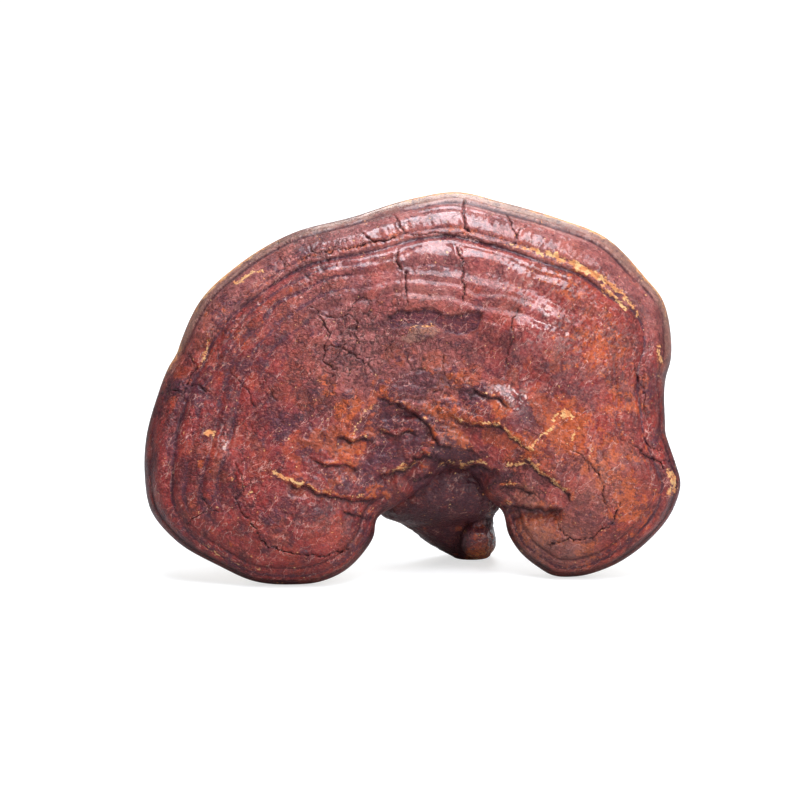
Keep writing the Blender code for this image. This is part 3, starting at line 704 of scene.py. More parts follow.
def dusk_tone(look):
    """Where the lacquer is dark and purplish: in soft areas, in the pit, the furrow and the grooves; over the
    stem and under the roll this is painted shade.
    """
    across, past, grain = look.points[:, 0], look.depths.past, look.grain[0]
    dusk = areas(look.blurred, DUSK_AREAS)
    dusk *= ease(-0.6, 0.1, dusk - 0.4 + look.ragged)
    dusk = np.maximum(dusk, 0.7 * look.sunk) * (1 - look.flake)
    blotches = (0.5 - 0.25 * ease(10, 30, across)) * ease(0.1, 0.6, -grain - 0.4 * look.wander)
    thin = (1 - look.neck) * ease(5, 3, look.depths.band) * ease(-0.4, 0.3, past) * ease(2.4, 1.6, past)
    grooves = look.ringed * ease(0.75, 0.1, look.crest) * ease(-0.7, 0.3, grain + look.wander)
    grooves *= ease(-5, -25, across)
    furrowed = 0.9 * look.furrow * (1 - look.neck)
    return np.maximum.reduce([dusk, blotches, furrowed, 0.4 * thin, 0.45 * look.under_roll, grooves])


def worn_tone(look):
    """Where the lacquer is worn down to gold: on the rim, on brinks and along streaks."""
    grain = look.grain
    rim = areas(look.points, RIM_WORN_AREAS)
    rim *= ease(1.6, 0.6, look.depths.plain + 0.6 * grain[1] + 0.6 * grain[2])
    worn = np.maximum(rim, 0.75 * look.brink * ease(-0.1, 0.5, grain[1] + grain[2]))
    for half_width, strength, line in WORN_STREAKS:
        away, share = beside(look.shaken, line, 4)
        breadth = half_width * (1.2 + 2.0 * grain[2] + grain[1])
        streak = fade(share, 0.1) * ease(breadth + 0.5, breadth - 0.2, np.abs(away))
        worn = np.maximum(worn, strength * streak)
    return worn


def lip_tone(look):
    """Where the lip outside the roll is tan."""
    band = look.depths.band
    lip = ease(0.30, 0.24, look.depths.plain / band) * ease(4, 8, band)
    return lip * (0.5 + 0.5 * ease(-0.4, 0.2, look.streaky)) * ease(45, 65, look.points[:, 1])


def crack_tone(look, lip, worn):
    """Where it is darkest: in cracks, the lip's grooves, the furrow and along the edge; and painted shade
    under the cap's edge where it overhangs the stem, and along the left lobe's foot.
    """
    points, depths, open_edge = look.points, look.depths, 1 - look.neck
    grooves = sum(
        dark * bell(depths.plain - place * depths.band + 0.25 * look.wander, FINEST_GROOVE)
        for place, _, _, dark in BAND_GROWTH
    ) * ease(0.3, 1.0, depths.plain) * open_edge
    scratched = 0.5 * ease(0.0, 0.5, -look.streaky) * ease(0, 0.6, lip)
    rim = (1 - 0.6 * look.neck) * ease(1.5, 0.6, depths.plain) * ease(0.2, 0.0, worn)
    rim *= 1 - areas(points, RIM_WORN_AREAS)
    second = second_groove(points, depths, look.wander)
    furrowed = (0.3 + 0.55 * areas(points, BOLD_FURROW_AREAS)) * look.furrow**2
    # painted shade under the cap's edge over the stem and along the left lobe's foot
    shade = areas(look.blurred, SHADE_AREAS)
    return np.maximum.reduce([look.crack, grooves, scratched, shade, 0.7 * rim, 0.7 * second, furrowed])


def top_side(points, depths):
    """Heights of the lacquered side: with the broad forms only, then in full; and its tones."""
    inner = ease(0, 1.5, depths.plain)
    plain = depths.forward + rounding(depths.plain, edge_radius(points, depths.band))
    plain += DOME_RISE * (1 - np.exp(-depths.soft / DOME_EASE)) + lumps(points) * inner
    look = Look(points, depths)
    fine, creased, split = fine_relief(look)
    full = plain + (growth(points, depths, look.wander) + look.fold + fine) * inner

    lip, worn = lip_tone(look), worn_tone(look)
    ashen_band = ASHEN_BAND * look.on_band * ease(55, 70, points[:, 1])
    tones = {
        # the darkening tone: cracks, grooves, splits and creases, and painted shade
        "crack": np.maximum.reduce([crack_tone(look, lip, worn), split, 0.45 * creased]),
        "ember": ember_tone(look),
        "ashen": np.maximum(areas(look.blurred, ASHEN_AREAS), ashen_band),
        "dusk": dusk_tone(look),
        # the lip tone also carries painted light on the right lobe
        "lip": np.maximum.reduce([lip, areas(look.blurred, PAINTED_LIGHT_AREAS), 0.8 * look.flake]),
        "worn": worn,
        "rough": look.rough,
        "gloss": areas(look.blurred, GLOSS_AREAS) * (1 - 0.8 * look.under_roll),
        "crazed": 0.3 + 0.7 * areas(points, CRACKLE_AREAS),
        "brushed": areas(points, STREAK_AREAS),
    }
    return plain, full, {name: np.clip(values, 0, 1) for name, values in tones.items()}


def under_side(points, depths):
    """Heights of the pore side: with the broad forms only, then in full."""
    to_root = np.linalg.norm(points - ROOT_PLACE, axis=1)
    swell = ROOT_SWELL * np.exp(-((to_root / ROOT_SPREAD) ** 2)) * ease(0, 8, depths.plain)
    plain = depths.forward - rounding(depths.plain, UNDER_EDGE) - swell
    wander = clouds(points, 18, 2, 71.0)
    rise, pitch = UNDER_WAVES
    waves = rise * np.sin(2 * math.pi * (depths.soft + 2 * wander) / pitch) * ease(1, 5, depths.plain)
    rise, size = UNDER_DENTS
    dents = rise * clouds(points, size, 3, 83.0) * ease(0.5, 4, depths.plain)
    return plain, plain + waves + dents


def pore_zones(points, depths):
    """Broad paler and browner rings of the pore side, from 0 to 1, and a pale band at its edge."""
    wander = clouds(points, 12, 3, 91.0)
    rings = 0.5 + 0.3 * np.sin(depths.ring / ZONE_PITCH + 1.2 * wander) + 0.35 * wander
    return np.clip(rings + 0.6 * ease(6, 2, depths.plain), 0, 1)


def lattice(margin, step):
    low, high = margin[:, :2].min(axis=0), margin[:, :2].max(axis=0)
    rows = []
    for index, up in enumerate(np.arange(low[1], high[1], step * math.sqrt(0.75))):
        across = np.arange(low[0] + step / 2 * (index % 2), high[0], step)
        rows.append(np.stack([across, np.full(len(across), up)], axis=1))
    return np.vstack(rows)


def line_points():
    """Rows of points along every ledge and crack and round the pit, so that their edges come out crisp."""
    rows = [(line, LEDGE_HALF_WIDTH) for rise, drop, reach, line in LEDGES]
    rows += [(line, half_width * 0.8) for depth, half_width, line in CRACKS]
    rows += [(PIT + PIT[:1], 0.22), (FLAKE + FLAKE[:1], 0.22)]
    points = []
    for line, half_width in rows:
        line = np.array(line, float)
        for start, end in zip(line[:-1], line[1:]):
            run = end - start
            length = np.linalg.norm(run)
            across = np.array([-run[1], run[0]]) / length
            for share in (np.arange(max(1, round(length / LINE_STEP))) + 0.5) * LINE_STEP / length:
                points += [start + run * min(share, 1) + across * half_width * side for side in (-1, 0, 1)]
    points = np.array(points)
    return points - shake(points)


def clear_of(points, kept, gap):
    """The points that lie clear of the kept ones."""
    tree = kdtree.KDTree(len(kept))
    for index, (x, y) in enumerate(kept):
        tree.insert((x, y, 0), index)
    tree.balance()
    return points[[tree.find((x, y, 0))[2] > gap for x, y in points]]


def side_points(margin, radius, step):
    """Rows round the edge, closer together where it turns, and a lattice inside them."""
    into = inward(margin[:, :2])
    turns = np.linspace(0, math.pi / 2, EDGE_STEPS + 1)
    rim = np.vstack([margin[:, :2] + into * (radius * (1 - math.cos(turn)))[:, None] for turn in turns])
    inner = rim[-len(margin) :]
    body = lattice(margin, step)
    body = body[inside(body, inner)]
    return np.vstack([rim, clear_of(body, inner, step * 0.6)])


def skin(points, columns):
    """Triangles over the points, inside the loop that the first of them make."""
    result = delaunay_2d_cdt([Vector(point) for point in points], [], [list(range(columns))], 1, 1e-6)
    order = [sources[0] for sources in result[3]]
    return [[order[corner] for corner in face] for face in result[2]]


def stand(points):
    """Points of the cap's plane as it leans back: across, back and up."""
    across, up, forward = points.T
    lean_sin, lean_cos = math.sin(CAP_LEAN), math.cos(CAP_LEAN)
    return np.stack([across, up * lean_sin - forward * lean_cos, up * lean_cos + forward * lean_sin], axis=1)


class Placing:
    """Takes standing drawing millimetres to metres in the frame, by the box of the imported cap."""

    def __init__(self, corners):
        low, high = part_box("cap")
        self.scale = (high.x - low.x) / np.ptp(corners[:, 0])
        middle = (corners[:, 0].min() + corners[:, 0].max()) / 2
        across = (low.x + high.x) / 2 - middle * self.scale
        back = high.y - corners[:, 1].max() * self.scale
        self.lift = -corners[:, 2].min()
        self.shift = np.array([across, back, low.z])

    def __call__(self, corners):
        return corners * self.scale + self.shift


def hollows(corners, faces, rounds):
    """How far each corner lies behind the average of those around it, along the forward axis."""
    faces = np.array(faces)
    pairs = np.vstack([faces[:, (0, 1)], faces[:, (1, 2)], faces[:, (2, 0)]])
    pairs = np.vstack([pairs, pairs[:, ::-1]])
    count = np.bincount(pairs[:, 0], minlength=len(corners))
    mean = corners.copy()
    for _ in range(rounds):
        mean = np.bincount(pairs[:, 0], mean[pairs[:, 1]], minlength=len(corners)) / count
    return mean - corners


def add_piece(name, corners, faces, materials):
    mesh = bpy.data.meshes.new(name)
    mesh.from_pydata(corners.tolist(), [], faces)
    for material in materials:
        mesh.materials.append(material)
    mesh.shade_smooth()
    piece = bpy.data.objects.new(name, mesh)
    bpy.context.scene.collection.objects.link(piece)
    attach(piece, "root")
    return piece


def paint(piece, tones):
    for name, values in tones.items():
        layer = piece.data.attributes.new(name, "FLOAT", "POINT")
        layer.data.foreach_set("value", values.astype(np.float32))


def both_sides(top, top_heights, under, under_heights):
    """Standing corners of the two sides, which share the loop that comes first in each."""
    sides = [np.column_stack([top, top_heights]), np.column_stack([under, under_heights])[COLUMNS:]]
    return stand(np.vstack(sides))


def top_points(margin):
    """The edge's rows, the crisp lines of the folds, and a lattice between them."""
    points = side_points(margin, edge_radius(margin[:, :2], margin[:, 3]), TOP_STEP)
    rim, body = np.split(points, [COLUMNS * (EDGE_STEPS + 1)])
    lines = line_points()
    lines = clear_of(lines[inside(lines, rim[-COLUMNS:])], rim, LINE_CLEAR)
    return np.vstack([rim, lines, clear_of(body, lines, LINE_CLEAR)])


def make_cap(material):
    margin = along_loop(MARGIN, COLUMNS)
    top = top_points(margin)
    top_plain, top_full, tones = top_side(top, Depths(top, margin))
    faces = skin(top, COLUMNS)
    # painted shade in the hollows: the further a corner lies below those around it, the darker
    tones["hollow"] = hollows(top_full, faces, HOLLOW_ROUNDS)

    under = side_points(margin, np.full(COLUMNS, UNDER_EDGE), UNDER_STEP)
    under_depths = Depths(under, margin)
    under_plain, under_full = under_side(under, under_depths)
    shift = len(top) - COLUMNS
    for face in skin(under, COLUMNS):
        faces.append([corner if corner < COLUMNS else corner + shift for corner in reversed(face)])

    placing = Placing(both_sides(top, top_plain, under, under_plain))
    corners = both_sides(top, top_full, under, under_full)
    corners[:, 2] += placing.lift
    piece = add_piece("lacquered_cap", placing(corners), faces, [material])
    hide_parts("cap")

    beyond = np.zeros(len(under) - COLUMNS)
    below = ease(0.0, 0.9, under_depths.plain / UNDER_EDGE)
    tones = {name: np.concatenate([values, beyond]) for name, values in tones.items()}
    for name, values in (("pores", below), ("zone", pore_zones(under, under_depths))):
        tones[name] = np.concatenate([np.zeros(len(top)), values[COLUMNS:]])
    paint(piece, tones)
    return placing


# ---------------------------------------------------------------- the stem

STEM = (
    # height, across, back, half-width, half-depth
    (0.0, 15.9, 31.0, 4.6, 4.0),
    (0.6, 15.8, 30.9, 5.4, 4.8),
    (2.2, 14.6, 30.0, 6.9, 5.8),
    (4.0, 13.4, 28.0, 8.1, 6.4),
    (6.0, 12.1, 25.9, 9.2, 6.9),
    (9.0, 10.6, 23.0, 10.3, 6.6),
    (12.0, 8.6, 20.0, 12.1, 6.0),
    (14.0, 6.8, 17.5, 14.4, 7.6),
    (17.0, 6.6, 14.8, 16.2, 9.2),
    (21.0, 7.4, 12.9, 16.4, 10.0),
    (25.0, 8.2, 12.2, 14.6, 9.9),
    (28.5, 8.5, 12.2, 12.0, 9.3),
    (32.0, 8.5, 12.8, 9.5, 7.4),
    (34.5, 8.5, 13.0, 7.5, 5.0),
    (37.0, 8.5, 12.8, 5.0, 2.6),
)
STEM_RELIEF = (0.045, 0.02, 0.03)  # broad, fine and in ribs, as shares of its half-width
STEM_SQUARE = 0.78  # below 1, the rings above the foot are fuller than ellipses
KNOBS = (
    # across, height, spreads across and up, push forward
    (18.0, 12.6, 5.0, 1.4, -2.0),  # the hollow over the knob
    (12.4, 5.0, 1.4, 5.5, -1.6),  # the crease beside it
    (4.0, 20.0, 5.0, 3.0, 0.6),
)
BALL = (18.0, 7.0, 5.2, 6.6, 6.0)  # the knob's round end, laid out the same way
BALL_ASIDE = 1.2
STEM_RINGS = 150
STEM_EVENINGS = 6
STEM_COLUMNS = 220


def stem_rings():
    """The stem's rings, with the steps between the drawn ones evened out."""
    rows = np.array(STEM)
    heights = np.linspace(0, rows[-1, 0], STEM_RINGS)
    rings = np.stack([np.interp(heights, rows[:, 0], column) for column in rows.T], axis=1)
    for _ in range(STEM_EVENINGS):
        rings[3:-1, 1:] = (rings[2:-2, 1:] + 2 * rings[3:-1, 1:] + rings[4:, 1:]) / 4
    return rings


def stem_corner(ring, x, y):
    """The stem's corner in a direction from the middle of a ring, and its tones."""
    height, across, back, half_width, half_depth = ring
    place = Vector((x * 2.0, y * 2.0, height / 5))
    broad = noise.fractal(place, 0.8, 2.0, 3)
    fine = noise.fractal(place * 5 + Vector((4, 2, 9)), 0.7, 2.1, 3)
    ribs = noise.fractal(Vector((x * 6, y * 6, height / 14)), 0.8, 2.0, 2)
    relief = sum(share * field for share, field in zip(STEM_RELIEF, (broad, fine, ribs)))
    out = 1 + relief * ease(0, 1.5, height)
    side, rear = across + half_width * x * out, back + half_depth * y * out
    for knob_across, knob_height, wide, tall, push in KNOBS:
        bulge = bell(side - knob_across, wide) * bell(height - knob_height, tall)
        rear -= push * bulge * ease(0.3, -0.6, y) * ease(0.2, 1.5, height)
    ball_across, ball_height, wide, tall, push = BALL
    roundness = max(0, 1 - ((side - ball_across) / wide) ** 2 - ((height - ball_height) / tall) ** 2)
    front = ease(0.4, -0.2, y)
    rear -= push * math.sqrt(roundness) * front
    side += BALL_ASIDE * bell(height - ball_height, 4) * ease(0.3, 0.9, x) * ease(0.2, 2, height)

    ball = roundness * front
    low = (1 - ease(4.5, 7.5, height + 2.5 * fine)) * ease(13, 16, across + half_width * x)
    shoulder = 0.5 * ease(15, 22, height) * ease(0.1, -0.6, x)
    # The stem is darkened all over except the knob's round end and its low orange end. This is its dark
    # lacquer, with painted shade from the cap that overhangs it. The round end is lighter and warmer, partly
    # as painted light on the knob.
    tones = {
        "crack": max(ease(0.2, 0.55, -ribs) * 0.6, 0.6 * (1 - low) * (1 - ball)),
        "ember": max(0.1 + 0.5 * broad + 0.6 * ball, low),
        "ashen": 0.0,
        "dusk": 0.95 - 0.95 * low - 0.5 * abs(broad) - 0.3 * ball - shoulder,
        "lip": ease(-0.5, -0.85, x) * ease(17, 12, height) * ease(-0.3, 0.3, fine),
        "worn": 0.75 * low * ease(-0.2, 0.3, fine),
        "hollow": -0.4 * fine,
        "rough": low,
        "gloss": (0.2 + 0.8 * ball) * (1 - low),
        "crazed": 0.2 + 0.8 * low,
        "brushed": 0.0,
    }
    return (side, rear, height), tones


def make_stem(material, placing):
    turns = np.linspace(0, 2 * math.pi, STEM_COLUMNS, endpoint=False)
    unit = np.stack([np.cos(turns), np.sin(turns)], axis=1)
    corners, tones = [], []
    for ring in stem_rings():
        full = 1 + (STEM_SQUARE - 1) * ease(1, 12, ring[0])
        for x, y in np.sign(unit) * np.abs(unit) ** full:
            corner, tone = stem_corner(ring, x, y)
            corners.append(corner)
            tones.append(tone)

    last = (STEM_RINGS - 1) * STEM_COLUMNS
    faces = [list(reversed(range(STEM_COLUMNS)))]
    for start in range(0, last, STEM_COLUMNS):
        for column in range(STEM_COLUMNS):
            a, b = start + column, start + (column + 1) % STEM_COLUMNS
            faces.append([a, b, b + STEM_COLUMNS, a + STEM_COLUMNS])
    faces.append(list(range(last, last + STEM_COLUMNS)))
    piece = add_piece("dark_stem", placing(np.array(corners)), faces, [material])
    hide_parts("stem")
    paint(piece, {name: np.clip(np.array([tone[name] for tone in tones], float), -1, 1) for name in TONES})


# ---------------------------------------------------------------- materials

MAROON = (0.085, 0.010, 0.014, 1)
BRICK = (0.255, 0.024, 0.020, 1)
BRICK_LIGHT = (0.41, 0.105, 0.080, 1)
ASHEN = (0.325, 0.116, 0.105, 1)
EMBER = (0.50, 0.090, 0.016, 1)
LIP_TAN = (0.31, 0.18, 0.135, 1)
DUSK = (0.078, 0.020, 0.034, 1)
# pink of the painted glints along the wrinkles
GLINT_PINK = (0.50, 0.24, 0.20, 1)
CRACK_AND_SHADE_DARK = (0.012, 0.004, 0.005, 1)
CREAM = (0.66, 0.39, 0.17, 1)
AMBER = (0.55, 0.21, 0.075, 1)
PORE_LIGHT = (0.60, 0.43, 0.26, 1)
PORE_BROWN = (0.46, 0.30, 0.17, 1)
PORE_DARK = (0.20, 0.11, 0.06, 1)

BUMP_DISTANCE = 0.00042
COAT_ROUGHNESS = 0.12
SPECULAR_LEVEL = 0.2

TONES = ("crack", "ember", "ashen", "dusk", "lip", "worn", "hollow", "rough", "gloss", "crazed", "brushed")


class Field:
    """A value or colour that changes over a surface: an output in a node tree, with plain arithmetic."""

    def __init__(self, tree, socket):
        self.tree, self.socket = tree, socket

    def calc(self, operation, *values):
        return field(self.tree, "ShaderNodeMath", dict(enumerate(values)), operation=operation)

    def __add__(self, other):
        return self.calc("ADD", self, other)

    def __sub__(self, other):
        return self.calc("SUBTRACT", self, other)

    def __rsub__(self, other):
        return self.calc("SUBTRACT", other, self)

    def __mul__(self, other):
        return self.calc("MULTIPLY", self, other)

    def __abs__(self):
        return self.calc("ABSOLUTE", self)

    def least(self, other):
        return self.calc("MINIMUM", self, other)

    def most(self, other):
        return self.calc("MAXIMUM", self, other)

    def spread(self, low, high, start=0.0, end=1.0):
        """The range from low to high, eased to the range from start to end."""
        inputs = {"Value": self, "From Min": low, "From Max": high, "To Min": start, "To Max": end}
        return field(self.tree, "ShaderNodeMapRange", inputs, interpolation_type="SMOOTHSTEP")


def fill(made, inputs):
    """Sets a node's inputs, or links them where the value is a field."""
    for name, value in inputs.items():
        if isinstance(value, Field):
            value.tree.links.new(value.socket, made.inputs[name])
        else:
            made.inputs[name].default_value = value


def node(tree, kind, inputs={}, **settings):
    made = tree.nodes.new(kind)
    for name, value in settings.items():
        setattr(made, name, value)
    fill(made, inputs)
    return made


def field(tree, kind, inputs={}, output=0, **settings):
    """A new node's output."""
    return Field(tree, node(tree, kind, inputs, **settings).outputs[output])


def mixed(share, first, second):
    """The share of the second colour over the first."""
    return field(share.tree, "ShaderNodeMix", {0: share, 6: first, 7: second}, 2, data_type="RGBA")


def attribute(tree, name):
    return field(tree, "ShaderNodeAttribute", {}, "Fac", attribute_name=name)


def place_on(tree, offset=0.0, turn=0.0, stretch=1.0):
    """The object's own coordinates, shifted, turned about the axis through the cap and stretched along it."""
    place = field(tree, "ShaderNodeTexCoord", {}, "Object")
    turned_place = field(tree, "ShaderNodeMapping", {"Vector": place, "Rotation": (0, turn, 0)})
    inputs = {"Vector": turned_place, "Location": (offset,) * 3, "Scale": (1 / stretch, 1, 1)}
    return field(tree, "ShaderNodeMapping", inputs)


def texture(tree, size_mm, detail=3.0, rough=0.55, offset=0.0, turn=0.0, stretch=1.0):
    """Noise with lumps of about the size."""
    place = place_on(tree, offset, turn, stretch)
    inputs = {"Vector": place, "Scale": 1000 / size_mm, "Detail": detail, "Roughness": rough}
    return field(tree, "ShaderNodeTexNoise", inputs)


def torn_place(tree, offset, noise_mm, detail, rough, reach):
    """The object's own coordinates, shifted by noise, so that cells laid out on them have torn borders."""
    place = place_on(tree, offset)
    inputs = {"Vector": place, "Scale": 1000 / noise_mm, "Detail": detail, "Roughness": rough}
    waver = field(tree, "ShaderNodeTexNoise", inputs, "Color")
    moved = field(tree, "ShaderNodeVectorMath", {0: waver, 3: reach}, operation="SCALE")
    return field(tree, "ShaderNodeVectorMath", {0: place, 1: moved}, operation="ADD")


def cell_edges(tree, place, size_mm):
    inputs = {"Vector": place, "Scale": 1000 / size_mm}
    return field(tree, "ShaderNodeTexVoronoi", inputs, "Distance", feature="DISTANCE_TO_EDGE")


def fissures(tree, size_mm, width, offset):
    """Thin lines between irregular scales: 1 on the lines."""
    place = torn_place(tree, offset, size_mm / 0.7, 4.0, 0.5, size_mm * 0.0016)
    return cell_edges(tree, place, size_mm).spread(width * 0.2, width, 1.0, 0.0)


def plates(tree, size_mm, offset):
    """Many plates with torn edges: a flat tone of its own for each, and the seams between them."""
    place = torn_place(tree, offset, size_mm / 1.3, 6.0, 0.7, size_mm * 0.0015)
    tones = field(tree, "ShaderNodeTexVoronoi", {"Vector": place, "Scale": 1000 / size_mm}, "Color")
    tone = field(tree, "ShaderNodeSeparateColor", {"Color": tones})
    return tone, cell_edges(tree, place, size_mm).spread(0.01, 0.05, 1.0, 0.0)


def new_group(name, inputs, outputs):
    """A shader group, and its inputs as fields."""
    tree = bpy.data.node_groups.new(name, "ShaderNodeTree")
    for label, value in inputs.items():
        tree.interface.new_socket(label, in_out="INPUT", socket_type="NodeSocketFloat").default_value = value
    for label in outputs:
        kind = "NodeSocketColor" if label == "Color" else "NodeSocketFloat"
        tree.interface.new_socket(label, in_out="OUTPUT", socket_type=kind)
    sockets = node(tree, "NodeGroupInput").outputs
    return tree, {label: Field(tree, sockets[label]) for label in inputs}


def splits(tree, given, fine):
    """Hairline splits of the lacquer: 1 on them."""
    patchy = texture(tree, 5, 3, 0.6, 0.8).spread(0.40, 0.56)
    scales = fissures(tree, 3.4, 0.12, 0.2) * given["Crazed"].spread(0.2, 1.0, 0.15, 0.9)
    scales = scales * fine.spread(0.38, 0.6, 0.5, 1.0)
    finer = fissures(tree, 1.5, 0.13, 0.6) * patchy * 0.7
    finer = finer * given["Crazed"].spread(0.0, 0.5).most(given["Gloss"])
    crinkle = abs(texture(tree, 1.5, 3, 0.6, 0.45, -0.7, 1.6) - 0.5).spread(0.004, 0.026, 0.5, 0.0)
    return scales.most(finer).most(crinkle * patchy.spread(0.0, 1.0, 0.5, 1.0))


def lacquer_group():
    """Tones of the natural lacquer, from masks on the surface, how rough it is, and where it's split."""
    outputs = ("Color", "Roughness", "Coat", "Fissure", "Brush")
    tree, given = new_group("natural_lacquer", {name.title(): 0.0 for name in TONES}, outputs)
    rough, ember, gloss = given["Rough"], given["Ember"], given["Gloss"]
    broad = texture(tree, 6, 4.5, 0.68, 0.3)
    fine = texture(tree, 1.0, 2, 0.7, 0.7)
    specks = texture(tree, 0.42, 2, 0.6, 0.1, -0.4, 2.2)
    torn = (texture(tree, 2.2, 3.5, 0.7, 0.4) - 0.5) * 1.6

    brush = texture(tree, 0.5, 2, 0.62, 0.5, STREAK_TURN, 6.0).spread(0.52, 0.62, 0.0, 0.6) * given["Brushed"]
    plate, seam = plates(tree, 5.0, 0.5)
    flaky = rough.spread(0.0, 0.8, 0.2, 0.95)
    glow = (ember + torn * 1.4).spread(0.46, 0.62, 0.0, 0.6) + ember * 0.25
    dim = (given["Dusk"] - torn).spread(0.34, 0.60, 0.0, 0.9) * specks.spread(0.42, 0.64, 1.0, 0.65)
    # thin pink lines: painted glints of the wrinkles
    glint_lines = abs(texture(tree, 3.4, 3, 0.5, 0.55, 0.9, 2.5) - 0.5).spread(0.0, 0.011, 0.85, 0.0)
    seam = seam * rough.spread(0.1, 0.8, 0.0, 0.7) * fine.spread(0.40, 0.56)
    dark = given["Crack"].most(splits(tree, given, fine)).most(seam)
    chip = (given["Worn"] + specks * 2.2).spread(1.6, 1.95, 0.0, 0.9)
    chip = chip.most(texture(tree, 0.8, 1, 0.5, 0.15).spread(0.73, 0.78, 0.0, 0.75))
    gold = mixed(texture(tree, 1.8, 3, 0.6, 0.35).spread(0.42, 0.58), AMBER, CREAM)

    colour = mixed(broad.spread(0.40, 0.58), MAROON, BRICK)
    layers = (
        # how much of each colour lies over those before it
        (fine.spread(0.50, 0.72, 0.0, 0.6), BRICK_LIGHT),
        (given["Ashen"] * broad.spread(0.35, 0.60, 0.3, 0.9), ASHEN),
        (brush, BRICK_LIGHT),
        (flaky * plate.spread(0.36, 0.33, 0.0, 0.7), DUSK),
        (flaky * plate.spread(0.74, 0.77, 0.0, 0.6), EMBER),
        (glow, EMBER),
        # tan lip and flake, and painted light on the right lobe
        (given["Lip"] * 0.75, LIP_TAN),
        (dim, DUSK),
        # on the cap, painted shade in its hollows; on the stem this tone is a random mottle
        (given["Hollow"].spread(0.02, 0.35, 0.0, 0.6), DUSK),
        (fine.spread(0.44, 0.30, 0.0, 0.6), DUSK),
        (specks.spread(0.46, 0.34, 0.0, 0.5), MAROON),
        # light specks: partly painted glints, partly the lacquer's mottle
        (specks.spread(0.56, 0.68, 0.0, 0.45), BRICK_LIGHT),
        (glint_lines * broad.spread(0.42, 0.54), GLINT_PINK),
        # cracks, splits and seams, with the painted shade that the darkening tone carries
        (dark * 0.9, CRACK_AND_SHADE_DARK),
        (chip, gold),
    )
    for share, tone in layers:
        colour = mixed(share, colour, tone)
    node(tree, "NodeGroupOutput", {
        "Color": colour,
        "Roughness": fine.spread(0.3, 0.7, 0.28, 0.44) - gloss * 0.08 + rough * 0.08 + chip * 0.25,
        "Coat": (1.0 - chip.most(dark)) * gloss.spread(0.0, 0.9, 0.3, 1.0),
        "Fissure": dark,
        "Brush": brush,
    })
    return tree


def grain_group():
    """Fine wrinkles, pits, splits and brushed ribs of dried skin, as a height."""
    inputs = {name: 1.0 for name in ("Wrinkle", "Grain", "Fissure", "Brush")}
    tree, given = new_group("dried_grain", inputs, ("Height",))
    wrinkle = abs(texture(tree, 1.6, 4, 0.6, 0.2) - 0.5).least(0.12) * (given["Wrinkle"] * 4)
    grain = texture(tree, 0.36, 1, 0.6, 0.9) * given["Grain"]
    height = wrinkle + grain - given["Fissure"] * 0.4 + given["Brush"] * 0.35
    node(tree, "NodeGroupOutput", {"Height": height})
    return tree


def new_material(name):
    material = bpy.data.materials.new(name)
    material.use_nodes = True
    return material, material.node_tree, material.node_tree.nodes["Principled BSDF"]


def pore_skin(tree):
    """The pore side's colour, with its zones and dark pores, and where it lies over the lacquer."""
    zones = (attribute(tree, "zone") + (texture(tree, 3, 4, 0.7, 0.4) - 0.5)).spread(0.1, 0.9)
    dots = texture(tree, 0.6, 2, 0.6, 0.2).spread(0.58, 0.68, 0.0, 0.5)
    flesh = mixed(dots, mixed(zones, PORE_BROWN, PORE_LIGHT), PORE_DARK)
    return flesh, (attribute(tree, "pores") + texture(tree, 1.5, 3) * 0.4).spread(0.3, 0.55)


def lacquer_material(name, groups, pores):
    material, tree, shader = new_material(name)
    masks = {label.title(): attribute(tree, label) for label in TONES}
    tones = node(tree, "ShaderNodeGroup", masks, node_tree=groups["lacquer"])
    colour, rough, coat, fissure, brush = (Field(tree, socket) for socket in tones.outputs)
    if pores:
        flesh, below = pore_skin(tree)
        colour = mixed(below, colour, flesh)
        rough = rough + below * 0.45
        coat = coat * (1.0 - below)
    calm = attribute(tree, "gloss").spread(0.1, 0.9, 1.0, 0.3)
    relief = {"Fissure": fissure, "Brush": brush, "Grain": calm * 0.28, "Wrinkle": calm * 0.75}
    height = field(tree, "ShaderNodeGroup", relief, node_tree=groups["grain"])
    bump = field(tree, "ShaderNodeBump", {"Height": height, "Strength": 1.0, "Distance": BUMP_DISTANCE})
    fill(shader, {
        "Base Color": colour,
        "Roughness": rough,
        "Coat Weight": coat,
        "Coat Roughness": COAT_ROUGHNESS,
        "Specular IOR Level": SPECULAR_LEVEL,
        "Normal": bump,
    })
    return material


# ---------------------------------------------------------------- floor, light and camera

FLOOR_SIZE = 8.0
FLOOR_TONE = (0.42, 0.42, 0.42)
FLOOR_GLOW = (0.1, 1.1, 0.64, 1.0)  # between two distances it rises from one strength to the other
WORLD_STRENGTH = 0.13
VIEW_DISTANCE = 1.1
VIEW_ELEVATION = math.radians(10)
VIEW_AIM = (-0.0035, -0.0117, 0.0483)
VIEW_LENS = 191.95

LIGHTS = (
    # name, place, size, watts, colour
    ("overhead_softbox", (0.05, -0.14, 0.8), (0.5, 0.9), 16.0, (0.88, 0.92, 1.0)),
    ("left_softbox", (-0.8, -0.9, 0.8), (0.4, 0.4), 2.8, (1, 1, 1)),
    ("right_softbox", (0.7, -0.8, 0.9), (0.3, 0.3), 5.2, (1, 1, 1)),
    ("low_fill", (0.27, -0.32, 0.09), (0.5, 0.16), 1.0, (1, 1, 1)),
    ("back_softbox", (0.1, 1.1, 0.7), (0.7, 0.5), 4.5, (1.0, 0.97, 0.92)),
)
LIGHT_TARGET = (0.0, 0.0, 0.05)


def add_to_scene(name, data):
    thing = bpy.data.objects.new(name, data)
    bpy.context.scene.collection.objects.link(thing)
    return thing


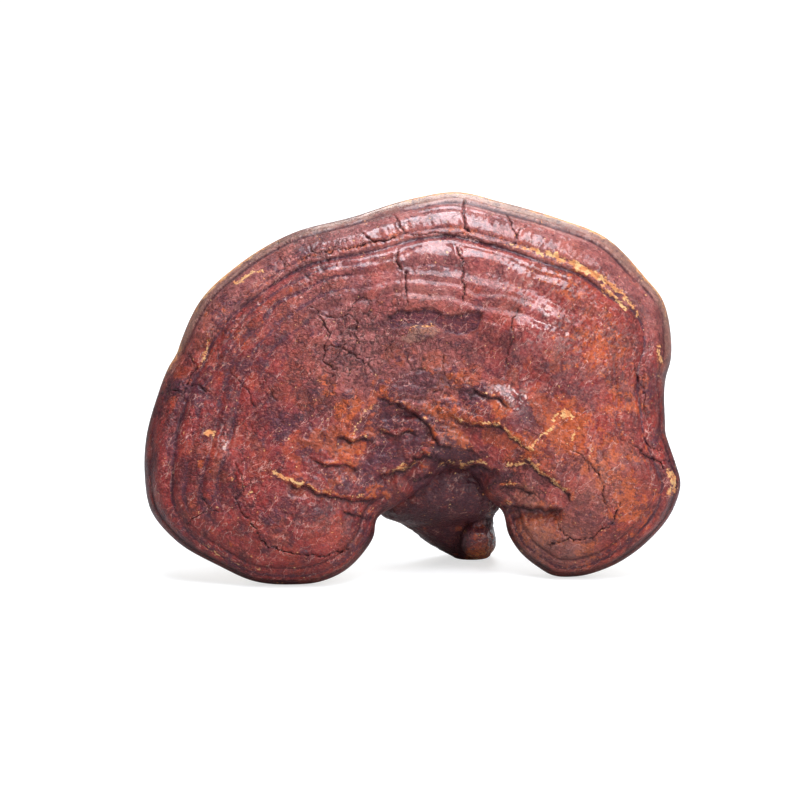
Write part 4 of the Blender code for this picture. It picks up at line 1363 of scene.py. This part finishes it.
def aim(thing, target):
    thing.rotation_euler = (Vector(target) - thing.location).to_track_quat("-Z", "Y").to_euler()


def make_floor():
    """A pale floor that is bright where the camera sees it, and a little less so around the mushroom."""
    half = FLOOR_SIZE / 2
    mesh = bpy.data.meshes.new("floor")
    corners = [(-half, -half, 0), (half, -half, 0), (half, half, 0), (-half, half, 0)]
    mesh.from_pydata(corners, [], [(0, 1, 2, 3)])
    paper, tree, shader = new_material("pale_paper")
    seen = field(tree, "ShaderNodeLightPath", {}, "Is Camera Ray")
    place = field(tree, "ShaderNodeTexCoord", {}, "Object")
    reach = field(tree, "ShaderNodeVectorMath", {0: place}, "Value", operation="LENGTH")
    fill(shader, {
        "Base Color": (*FLOOR_TONE, 1),
        "Roughness": 0.8,
        "Emission Color": (1, 1, 1, 1),
        "Emission Strength": seen * reach.spread(*FLOOR_GLOW),
    })
    mesh.materials.append(paper)
    add_to_scene("floor", mesh)


def make_lights():
    world = bpy.data.worlds.new("studio")
    world.use_nodes = True
    fill(world.node_tree.nodes["Background"], {"Color": (1, 1, 1, 1), "Strength": WORLD_STRENGTH})
    bpy.context.scene.world = world
    for name, place, size, watts, colour in LIGHTS:
        light = bpy.data.lights.new(name, "AREA")
        light.shape = "RECTANGLE"
        light.size, light.size_y = size
        light.energy = watts
        light.color = colour
        lamp = add_to_scene(name, light)
        lamp.location = place
        aim(lamp, LIGHT_TARGET)


def make_camera():
    camera = add_to_scene("camera", bpy.data.cameras.new("camera"))
    camera.data.sensor_width = 36.0
    camera.data.lens = VIEW_LENS
    back = Vector((0, -math.cos(VIEW_ELEVATION), math.sin(VIEW_ELEVATION)))
    camera.location = Vector(VIEW_AIM) + back * VIEW_DISTANCE
    aim(camera, VIEW_AIM)
    bpy.context.scene.camera = camera
    bpy.context.scene.view_settings.view_transform = "Standard"


make_floor()
make_lights()
make_camera()
node_groups = {"lacquer": lacquer_group(), "grain": grain_group()}
cap_placing = make_cap(lacquer_material("cap_lacquer_and_pores", node_groups, True))
make_stem(lacquer_material("stem_lacquer", node_groups, False), cap_placing)
